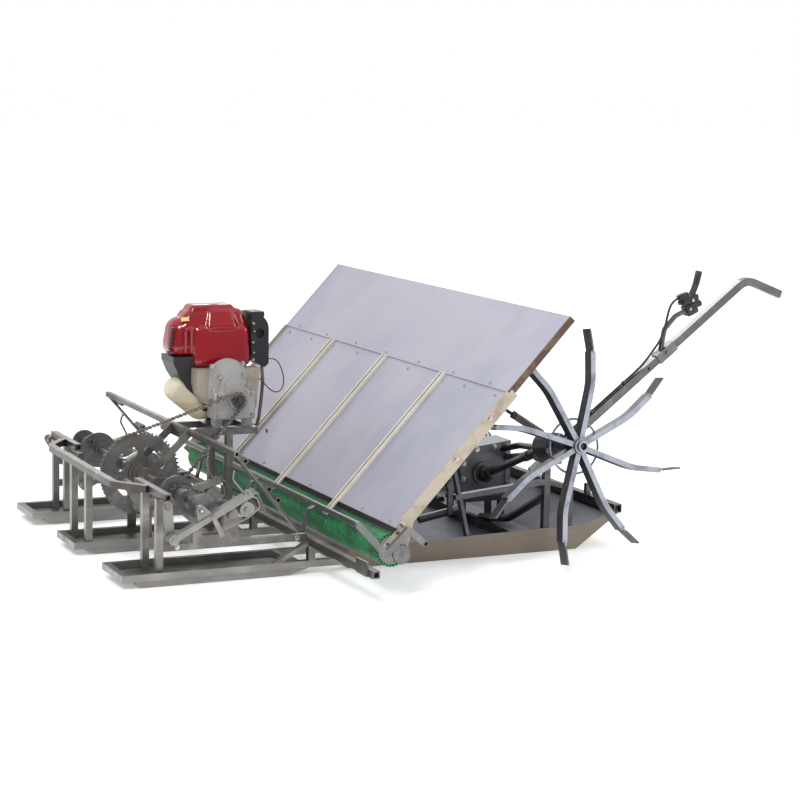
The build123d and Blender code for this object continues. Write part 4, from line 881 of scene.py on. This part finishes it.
@dataclass
class RollerChain:
    """Linked chain that stands for a node's plain bands."""

    node: str
    first: Vector
    second: Vector
    first_teeth: int
    second_teeth: int
    pitch: float = 9.525 * MM
    plate_height: float = 7.0 * MM
    half_plates: float = 2.7 * MM
    plate: float = 1.3 * MM

    def link(self, lift: float) -> Piece:
        """One link: two waisted plates, a roller and its rivet heads.

        Args:
            lift: how far the plates stand out beyond the inner ones.
        Returns:
            The link along X at the origin.
        """
        high, thick, half = self.plate_height, self.plate, self.pitch / 2
        pieces = []
        for side in (-1, 1):
            middle = side * (self.half_plates + thick / 2 + lift)
            waist = primitive(Start.BLOCK, (0, middle, 0), (self.pitch, thick, high * 0.55))
            pieces.append(shape(waist, lambda _centre, normal: abs(normal.z) > SQUARE_ON, inset(0.3)))
            for end in (-half, half):
                pieces.append(primitive(Start.ROUND, (end, middle, 0), (high, thick, high), 10))
                pieces.append(disc((end, side * (self.half_plates + thick * 2), 0), 1.4, 1.6, 8))
        for end in (-half, half):
            pieces.append(primitive(Start.ROUND, (end, 0, 0), (5 * MM, 2 * self.half_plates, 5 * MM), 10))
        return tidy(merge("link", pieces))

    def route(self) -> list[Matrix]:
        """Place of each link along the chain's closed path."""
        radius_one, radius_two = (
            self.pitch / (2 * math.sin(math.pi / teeth)) for teeth in (self.first_teeth, self.second_teeth)
        )
        gap = self.second - self.first
        heading = math.atan2(gap.z, gap.x)
        lean = math.acos((radius_one - radius_two) / gap.length)
        strand = gap.length * math.sin(lean)
        # columns: sprocket's middle and radius, starting angle, length, whether it wraps
        runs = (
            (self.first, radius_one, heading + lean, (2 * math.pi - 2 * lean) * radius_one, True),
            (self.first, radius_one, heading - lean, strand, False),
            (self.second, radius_two, heading - lean, 2 * lean * radius_two, True),
            (self.second, radius_two, heading + lean, strand, False),
        )
        total = sum(run[3] for run in runs)
        count = 2 * round(total / self.pitch / 2)
        places = []
        for number in range(count):
            along = number * total / count
            for middle, radius, angle, length, wraps in runs:
                if along < length:
                    break
                along -= length
            if wraps:
                angle += along / radius
            tangent = angle + math.pi / 2
            spot = middle + Vector((math.cos(angle), 0, math.sin(angle))) * radius
            if not wraps:
                spot += Vector((math.cos(tangent), 0, math.sin(tangent))) * along
            places.append(Matrix.Translation(spot) @ Matrix.Rotation(-tangent, 4, "Y"))
        return places

    def build(self, material: Material) -> Piece:
        """Makes the chain and lets it stand for its node."""
        places = self.route()
        inner = scatter("inner_links", self.link(0), places[0::2])
        outer = scatter("outer_links", self.link(self.plate), places[1::2])
        chain = dress(merge(f"{self.node}_links", [inner, outer]), material, "frame")
        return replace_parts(chain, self.node)


# ---- engine


@dataclass
class EngineCover(Group):
    """Red moulded cover: body, rear lobe, hood, dished cap and ramp as one blended shell."""

    voxel: float = 2.2 * MM
    rounds: int = 18
    # columns: X, Y and Z spans, top's scale along X and Y, top's shift along X and Y, edge radius
    lumps: tuple[tuple[tuple[float, ...], ...], ...] = (
        ((320, 461), (47, 156), (389, 486), (0.97, 0.84), (0, 4), (15,)),
        ((264, 382), (56, 152), (413, 503), (0.9, 0.74), (6, 3), (28,)),
        ((286, 459), (62, 148), (472, 521), (0.78, 0.7), (8, 2), (14,)),
        ((314, 434), (74, 140), (502, 531), (0.86, 0.82), (0, 0), (9,)),
        ((350, 430), (53, 98), (474, 522), (0.74, 0.5), (0, 9), (9,)),
    )

    def lump(self, spans: tuple[tuple[float, ...], ...]) -> Piece:
        """One tapered block with rounded edges, from a row of the table."""
        *box, scale, offset, (radius,) = spans
        middle = drawn(*(sum(span) / 2 for span in box))
        made = block(middle, tuple(high - low for low, high in box))
        top = (middle[0], middle[1], box[2][1] * MM)
        shape(made, looking(2, 1), narrow((*scale, 1), top), move(*offset))
        return shape(made, all_but_base, soften(radius, 6))

    def build(self) -> Piece:
        """Blends the lumps and lets the shell stand for its node."""
        cover = merge("engine_cover", [self.lump(spans) for spans in self.lumps])
        apply(cover, "blend", "REMESH", mode="VOXEL", voxel_size=self.voxel)
        apply(cover, "calm", "SMOOTH", factor=0.5, iterations=self.rounds)
        dress(tidy(cover, 60), self.palette["engine red"], "frame")
        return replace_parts(cover, "engine_shroud")


@dataclass
class EngineTrim(Group):
    """Vents, ribs, bolts, knobs and the blank label on the engine."""

    def vents(self) -> None:
        """Short fins up the rear edge of the red cover."""
        fins = []
        for number in range(11):
            fin = block(drawn(266.4 + 0.8 * number, 74, 420 + 6 * number), (5, 16, 2.6))
            fins.append(shape(fin, looking(0, -1), soften(1, 2)))
        self.add("cover_vents", fins, "engine black", "engine_black")

    def ribs(self) -> None:
        """Upright ribs on the rear lobe of the red cover."""
        ribs = []
        for x, y in ((300, 60), (314, 59)):
            ribs.append(shape(block(drawn(x, y, 449), (5, 7, 50)), FRONT, inset(1.2), soften(1.2, 3)))
        self.add("cover_ribs", ribs, "engine red", "engine_red")

    def cap(self) -> None:
        """Raised oval badge plate, left blank, in the cap's dish."""
        badge = primitive(Start.ROUND, (0, 0, 0), (66 * MM, 5 * MM, 40 * MM), 40)
        shape(badge, FRONT, inset(4), push(1.4), inset(8), push(-1))
        seat(badge, "cover_cap", (0, 0, 1), drawn(378, 106, 528.2))
        dress(badge, self.palette["engine red"], "frame")

    def label(self) -> None:
        """Small blank label on the rear lobe's shoulder."""
        plate = block((0, 0, 0), (18, 1.6, 10))
        shape(plate, FRONT, inset(1.6), push(-0.4))
        seat(plate, "cover_label", (-0.25, -0.75, 0.6), drawn(302, 67, 500))
        dress(plate, self.palette["blank label"], "frame")

    def case_rims(self) -> None:
        """Raised rims round the reduction case's plate, its lump and the output shaft's boss."""
        rings = []
        # columns: centre X and Z, outer and inner radius, face Y, how far it stands out
        for x, z, outer, inner, y, proud in (
            (387.5, 367, 46, 41, 16, 1.6), (401, 352, 25, 21, 12, 1.4),
            (407, 319, 33, 28, 8, 1.4), (407, 319, 21, 15, 2, 1.2),
        ):
            ring = disc(drawn(x, y + 0.5, z), outer, 1.4, 48)
            rim = inset((outer - inner) / 2)
            rings.append(shape(ring, FRONT, rim, push(-proud), rim, push(proud)))
        self.add("case_rims", rings, "cast alloy", "cast_alloy")

    def case_bolts(self) -> None:
        """Bolts round the reduction case."""
        # columns: X and Z, face Y
        ring = (
            (349, 396, 16), (352, 338, 16), (424, 400, 16), (436, 352, 12), (368, 372, 12), (424, 372, 12),
            (364, 330, 8), (444, 330, 8), (362, 282, 8), (446, 282, 8),
        )
        seats = [(drawn(x, y, z), OUTWARD) for x, z, y in ring]
        self.bolts("case_bolts", 9, seats, slot="cast_alloy", washer=1.4)

    def carburettor(self) -> None:
        """Small fittings between the cover and the air cleaner."""
        knobs = []
        # columns: X, Y, Z, radius
        for x, y, z, radius in (
            (463, 53, 488, 3.2), (465, 52, 470, 2.4), (462, 52, 444, 2.8), (464, 51, 420, 2.4), (462, 50, 404, 3.4),
        ):
            knob = disc(drawn(x, y, z), radius, 9, 12)
            knobs.append(shape(knob, FRONT, inset(0.8), push(-1.4)))
        self.add("carburettor_fittings", knobs, "zinc fitting", "machined_steel")

    def cleaner_knob(self) -> None:
        """Clamp knob on top of the air cleaner."""
        knob = block(drawn(477, 84, 507), (36, 50, 14))
        shape(knob, all_but_base, soften(4, 3))
        self.add(knob.name, [knob], "engine black", "engine_black")  # it keeps the block's own name

    def build(self) -> None:
        """Makes all the engine's trim."""
        self.vents()
        self.ribs()
        self.cap()
        self.label()
        self.case_rims()
        self.case_bolts()
        self.carburettor()
        self.cleaner_knob()


# ---- fasteners on the frame and the tray


@dataclass
class Fasteners(Group):
    """Bolts, flanges and a dark strip of painted shade under the tray's edge, where the machine's pieces meet."""

    def gearbox(self) -> None:
        """Bolts round the gearbox's two flanges."""
        low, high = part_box("gearbox")
        # columns: X and Z from the case's lower rear corner
        ring = (
            (26, 10), (70, 10), (112, 10), (144, 30), (144, 74), (144, 118), (104, 120), (58, 116), (24, 84), (23, 46),
        )
        seats = []
        for x, z in ring:
            for y, facing in ((low[1] - 0.2 * MM, -1), (high[1] + 0.2 * MM, 1)):
                seats.append(((low[0] + x * MM, y, low[2] + z * MM), (0, facing, 0)))
        self.bolts("gearbox_bolts", 9, seats)

    def ball_flanges(self) -> None:
        """Round flanges that hold the ball joints on the gearbox."""
        flanges = []
        for side, corner in zip((-1, 1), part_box("gearbox")):
            flange = disc((0, 0, 0), 28, 5, 36)
            shape(flange, FRONT, inset(7), push(-3), inset(3), push(1.5))
            place = (BALL_JOINT[0], corner[1] + side * 2 * MM, BALL_JOINT[1])
            flanges.append(seat(flange, "flange", (0, side, 0), place))
        dress(merge("ball_flanges", flanges), self.palette["bright steel"], "frame")

    def frame_joints(self) -> None:
        """Bolts on the side rails, the engine stand and the crossbeam."""
        beam_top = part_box("crossbeam")[1]
        rail_low, rail_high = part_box("side_rails")
        stand_low, stand_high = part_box("engine_stand")
        seats = []
        for side in SIDES.values():
            y = side * (abs(rail_low[1]) + 0.1 * MM)
            for x in (rail_low[0] + 30 * MM, rail_high[0] - 24 * MM):
                seats.append(((x, y, rail_low[2] + 7.5 * MM), (0, side, 0)))
        for y in (stand_low[1] + 7 * MM, 40 * MM):
            seats.append(((stand_high[0], y, stand_high[2] - 12 * MM), (1, 0, 0)))
        seats.append(((beam_top[0] - 10 * MM, -330 * MM, beam_top[2] - 14 * MM), (0, 0, 1)))
        self.bolts("frame_bolts", 8, seats)

    def housings(self) -> None:
        """Bolts round each wheel housing's cover."""
        count, radius, inward = 6, 24 * MM, 90 * MM
        across = Vector((1, 0, 0))
        seats = []
        for side in SIDES:
            way = axle(side)
            face = hub(side) - way * inward
            upright = way.cross(across)
            for number in range(count):
                angle = math.radians(360 / count * number + 20)
                seats.append((face + (across * math.cos(angle) + upright * math.sin(angle)) * radius, way))
        self.bolts("housing_bolts", 7, seats)

    def tray_rivets(self) -> None:
        """Rivets along the tray's lower edge, its lapped joint and the upper sheet."""
        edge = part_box("tray_upper")[0][1]
        foot = Vector((TRAY_FOOT_X, 0, 150 * MM))
        seats = []
        # columns: how many, first one's distance from the edge, spacing, heights up the slope, lift off the sheet
        for count, first, spacing, heights, lift in ((9, 44, 139, (8, 352), 0.2), (7, 90, 172, (374,), 3.2)):
            for number in range(count):
                for height in heights:
                    place = foot + TRAY_UP * (height * MM) + TRAY_OUT * (lift * MM)
                    seats.append(((place.x, edge + (first + number * spacing) * MM, place.z), TRAY_OUT))
        self.bolts("tray_rivets", 5, seats, "tray", "tray_sheet", "tray sheet", 1.3)

    def foot_lip(self) -> None:
        """Dark strip under the tray's lower edge, in the rubber finish: painted shade that keeps the gap there dark.
        """
        low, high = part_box("tray_lower")
        place = (TRAY_FOOT_X + 1 * MM, (low[1] + high[1]) / 2, 143.5 * MM)
        lip = primitive(Start.BLOCK, place, (3 * MM, high[1] - low[1] - 8 * MM, 11 * MM))
        shape(lip, looking(2, -1), inset(0.8), push(-0.5, 2))
        self.add("foot_lip", [lip], "rubber", "engine_black", "tray")

    def flange_bolts(self) -> None:
        """Bolts through the tray's side flanges."""
        rib_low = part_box("tray_ribs")[0]
        foot = Vector((rib_low[0], 0, rib_low[2])) + TRAY_UP * (42 * MM) - TRAY_OUT * (8 * MM)
        seats = []
        for side, corner in zip((-1, 1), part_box("tray_lower")):
            for height in (14, 190, 300):
                place = foot + TRAY_UP * (height * MM)
                seats.append(((place.x, corner[1], place.z), (0, side, 0)))
        self.bolts("flange_bolts", 8, seats, "tray")

    def planting_nuts(self) -> None:
        """Nuts on both ends of each arm's crank pin."""
        inward = 7 * MM
        for row in ROWS:
            pin = joint_place(f"arm_{row}_swing")
            low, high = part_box(f"planting_arm_{row}")
            ends = ((-1, low[1] + inward), (1, high[1] - inward))
            self.bolts(f"arm_nuts_{row}", 9, [((pin.x, y, pin.z), (0, side, 0)) for side, y in ends], f"arm_{row}")

    def build(self) -> None:
        """Makes all the fasteners."""
        self.gearbox()
        self.ball_flanges()
        self.frame_joints()
        self.housings()
        self.tray_rivets()
        self.foot_lip()
        self.flange_bolts()
        self.planting_nuts()


# ---- lever, wheels and springs


@dataclass
class LeverTrim(Group):
    """Perch clamp, pivot screw, adjuster and finger grip of the clutch lever."""

    # columns: place, size, lean in degrees, edge radius
    mouldings: tuple[tuple[Point, Point, float, float], ...] = (
        ((1620, 0, 495), (34, 31, 29), 23, 6),
        ((1614, 0, 516), (40, 24, 19), 12, 5),
        ((1596, 0, 526), (24, 18, 15), 14, 4),
        ((1639, 0, 571), (12, 19, 34), -14, 4.5),
    )
    # columns: place, radius, length, direction
    barrels: tuple[tuple[Point, float, float, Point], ...] = (
        ((1646, 0, 508), 8, 10, (1, 0, 0.35)),
        ((1592, 0, 512), 6, 10, (-1, 0, -0.4)),
    )
    screws: tuple[tuple[Point, float, float, Point], ...] = (
        ((1612, -16, 496), 3.5, 3, (0, -1, 0)),
        ((1620, -13, 518), 4, 4, (0, -1, 0)),
        ((1620, 13, 518), 4, 4, (0, 1, 0)),
        ((1584, 0, 529), 3, 8, (-1, 0, -0.3)),
    )

    def moulding(self, place: Point, size: Point, lean: float, radius: float) -> Piece:
        """Rounded block leaning back about Y."""
        made = block((0, 0, 0), size)
        shape(made, lambda _centre, _normal: True, soften(radius, 4))
        tidy(made).data.transform(Matrix.Translation(drawn(*place)) @ Matrix.Rotation(-math.radians(lean), 4, "Y"))
        return made

    def rod(self, place: Point, radius: float, length: float, way: Point) -> Piece:
        """Short stepped rod along a direction."""
        made = disc((0, 0, 0), radius, length, 20)
        shape(made, FRONT, inset(radius * 0.25), push(-1.2))
        return seat(made, "rod", way, drawn(*place))

    def build(self) -> None:
        """Makes the black mouldings and the bright screws."""
        black = [self.moulding(*row) for row in self.mouldings] + [self.rod(*row) for row in self.barrels]
        dress(merge("lever_mouldings", black), self.palette["engine black"], "frame")
        bright = [self.rod(*row) for row in self.screws]
        dress(merge("lever_screws", bright), self.palette["zinc fitting"], "frame")


@dataclass
class WheelTrim(Group):
    """Flanged collar on the inner end of each hub."""

    def build(self) -> None:
        """Makes both collars."""
        for side in SIDES:
            inward = -axle(side)
            ring = disc((0, 0, 0), 23, 7, 28)
            shape(ring, FRONT, inset(5), push(-5), inset(3))
            seat(ring, f"hub_collar_{side}", inward, hub(side) + inward * (24 * MM))
            dress(ring, self.palette["dark steel"], f"wheel_{side}_body")


@dataclass
class CoilSprings(Group):
    """Wound wire over each strut's plain coil."""

    turns: int = 17
    wire: float = 1.6 * MM
    coil: float = 7.6 * MM
    length: float = 74 * MM
    inward: float = 124 * MM  # from a wheel's hub to the strut's foot
    bend_x: float = -74.789 * MM

    def one(self, side: str) -> Piece:
        """A helix of wire from the strut's foot upwards."""
        foot = hub(side) - axle(side) * self.inward + Vector((-12 * MM, 0, 24 * MM))
        run = (Vector((self.bend_x, SIDES[side] * 394 * MM, 344 * MM)) - foot).normalized()
        turn = Vector((0, 0, 1)).rotation_difference(run).to_matrix().to_4x4()
        select()
        bpy.ops.mesh.primitive_circle_add(
            radius=self.wire, vertices=8, location=(self.coil, 0, 0), rotation=(math.pi / 2, 0, 0)
        )
        bpy.ops.object.transform_apply(location=True, rotation=True, scale=True)
        made = bpy.context.active_object
        rise = self.length / self.turns
        apply(made, "wind", "SCREW", iterations=self.turns, screw_offset=rise, steps=16, render_steps=16)
        bpy.ops.object.mode_set(mode="EDIT")
        bpy.ops.mesh.select_all(action="SELECT")
        bpy.ops.mesh.fill_holes(sides=0)
        bpy.ops.object.mode_set(mode="OBJECT")
        made.data.transform(Matrix.Translation(foot + run * (8 * MM)) @ turn)
        return tidy(made, 60)

    def build(self) -> None:
        """Makes both springs."""
        springs = merge("strut_springs", [self.one(side) for side in SIDES])
        dress(springs, self.palette["frame steel"], "frame")


# ---- free cables


@dataclass
class FreeCable:
    """A cable or wire that hangs free between two fittings."""

    node: str
    radius: float
    points: tuple[Point, ...]

    def build(self, material: Material) -> Piece:
        """Makes the cable as a smooth curve and logs its length."""
        name = f"{self.node}_free"
        curve = bpy.data.curves.new(name, "CURVE")
        curve.dimensions = "3D"
        curve.bevel_depth = self.radius
        curve.bevel_resolution = 3
        curve.use_fill_caps = True
        curve.materials.append(material)
        spline = curve.splines.new("NURBS")
        spline.points.add(len(self.points) - 1)
        route = [Vector(drawn(*point)) for point in self.points]
        for point, place in zip(spline.points, route):
            point.co = (*place, 1)
        spline.order_u = 3
        spline.resolution_u = 8
        spline.use_endpoint_u = True
        made = stand(name, curve)
        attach(made, "frame")
        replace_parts(made, self.node)
        self.length(route)
        LOG.info("%s hangs free, %.0f mm", name, self.length(route) / MM)
        return made

    @staticmethod
    def length(route: Sequence[Vector]) -> float:
        """Length of the smooth curve: quadratic spans between the points' midpoints."""
        steps = 16
        middles = [route[0]] + [(a + b) / 2 for a, b in zip(route[1:-1], route[2:-1])] + [route[-1]]
        total = 0.0
        for start, corner, end in zip(middles, route[1:-1], middles[1:]):
            before = start
            for step in range(1, steps + 1):
                t = step / steps
                now = start * (1 - t) ** 2 + corner * (2 * t * (1 - t)) + end * t**2
                total += (now - before).length
                before = now
        return total


# ---- stage


@dataclass
class Studio:
    """Pale floor, soft lights and the camera."""

    eye: Point = (-2.296949, -4.51684, 1.07309)
    right: Point = (0.9028, -0.4295, 0.0222)
    forward: Point = (0.4277, 0.8910, -0.1525)
    lens: float = 96.29
    sensor: float = 36
    target: Point = (0, 0, 0.3)
    ahead: Point = (0.42, 0.86, 0.45)
    dim: float = 0.34
    # columns: name, place, size, power
    lamps: tuple[tuple[str, Point, float, float], ...] = (
        ("key light", (-3.0, -3.6, 4.4), 1.4, 140),
        ("fill light", (3.8, -3.2, 2.6), 2.0, 50),
        ("back light", (1.0, 4.0, 3.6), 2.0, 90),
    )

    def floor(self) -> None:
        """Wide pale sheet of paper under the machine."""
        select()
        bpy.ops.mesh.primitive_plane_add(size=60, location=(0, 0, -0.5 * MM))
        sheet = bpy.context.active_object
        sheet.name = "floor"
        bpy.ops.object.transform_apply(location=True, rotation=True, scale=True)
        recipe = Recipe("floor paper")
        colour = recipe.blend(recipe.noise(0.4, 2.0) * 0.2, (253, 253, 253), (250, 250, 250))
        sheet.data.materials.append(
            recipe.surface(Base_Color=colour, Roughness=0.85, Emission_Color=(255, 255, 255), Emission_Strength=0.3)
        )

    def lamp(self, name: str, place: Point, size: float, power: float) -> None:
        """Adds a square soft light that faces the machine."""
        data = bpy.data.lights.new(name, "AREA")
        data.size = size
        data.energy = power
        lamp = stand(name, data)
        lamp.location = place
        lamp.rotation_euler = (Vector(self.target) - Vector(place)).to_track_quat("-Z", "Y").to_euler()

    def sky(self) -> None:
        """White sky that is dimmer behind the camera, so that metal has something dark to mirror."""
        world = bpy.data.worlds.new("studio")
        world.use_nodes = True
        nodes, links = world.node_tree.nodes, world.node_tree.links
        where = nodes.new("ShaderNodeTexCoord")
        ahead = nodes.new("ShaderNodeVectorMath")
        ahead.operation = "DOT_PRODUCT"
        ahead.inputs[1].default_value = self.ahead
        spread = nodes.new("ShaderNodeMapRange")
        spread.interpolation_type = "SMOOTHSTEP"
        for key, value in (("From Min", -0.7), ("From Max", 0.6), ("To Min", self.dim), ("To Max", 1.0)):
            spread.inputs[key].default_value = value
        background = nodes["Background"]
        links.new(where.outputs["Generated"], ahead.inputs[0])
        links.new(ahead.outputs["Value"], spread.inputs["Value"])
        links.new(spread.outputs["Result"], background.inputs["Strength"])
        background.inputs["Color"].default_value = (1, 1, 1, 1)
        bpy.context.scene.world = world

    def camera(self) -> None:
        """Adds the camera."""
        data = bpy.data.cameras.new("camera")
        data.lens = self.lens
        data.sensor_width = self.sensor
        camera = stand("camera", data)
        right, forward = Vector(self.right).normalized(), Vector(self.forward).normalized()
        turn = Matrix((right, right.cross(forward), -forward)).transposed().to_4x4()
        camera.matrix_world = Matrix.Translation(self.eye) @ turn
        bpy.context.scene.camera = camera

    def build(self) -> None:
        """Sets the whole stage."""
        self.floor()
        for row in self.lamps:
            self.lamp(*row)
        self.sky()
        bpy.context.scene.view_settings.view_transform = "Standard"
        self.camera()


# ---- the machine


@dataclass
class Transplanter:
    """The whole dressed machine."""

    # columns: node, its sprockets' joints, their teeth
    chains: tuple[tuple[str, str, str, int, int], ...] = (
        ("drive_chain", "crank_spin", "engine_spin", 60, 10),
        ("feed_chain", "crank_spin", "counter_spin", 12, 12),
    )
    # columns: finish, node, radius, points
    cables: tuple[tuple[str, str, float, tuple[Point, ...]], ...] = (
        ("rubber", "clutch_cable", 3 * MM, (
            (1588, 0, 524), (1568, -4, 517), (1553, -9, 496), (1545, -13, 471), (1538, -15, 446),
            (1528, -14, 420), (1512, -10, 396), (1495, -6, 371), (1476, 0, 347.8), (1453.8, 0, 330.8),
        )),
        ("wire cover", "ignition_wire", 1.5 * MM, (
            (504, 66, 402), (517, 61, 404), (529, 57, 395), (536, 53, 378), (540, 50, 359), (539, 48, 341),
            (531, 47, 328), (517, 46, 325), (503, 45, 333), (491, 42, 345), (479, 42, 356), (468.6, 42, 367),
        )),
    )

    def build(self) -> None:
        """Builds and dresses every piece in order."""
        palette = build_palette()
        Coats(palette).build()
        for node, first, second, first_teeth, second_teeth in self.chains:
            ends = [Vector((spot.x, centre(node).y, spot.z)) for spot in (joint_place(first), joint_place(second))]
            RollerChain(node, *ends, first_teeth, second_teeth).build(palette["chain steel"])
        for group in (EngineCover, EngineTrim, Fasteners, LeverTrim, WheelTrim, CoilSprings):
            group(palette).build()
        for finish, node, radius, points in self.cables:
            FreeCable(node, radius, points).build(palette[finish])


def main() -> None:
    """Builds the machine and its stage."""
    logging.basicConfig(level=logging.INFO, format="%(message)s")
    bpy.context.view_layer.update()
    Transplanter().build()
    Studio().build()


if __name__ == "__main__":
    main()
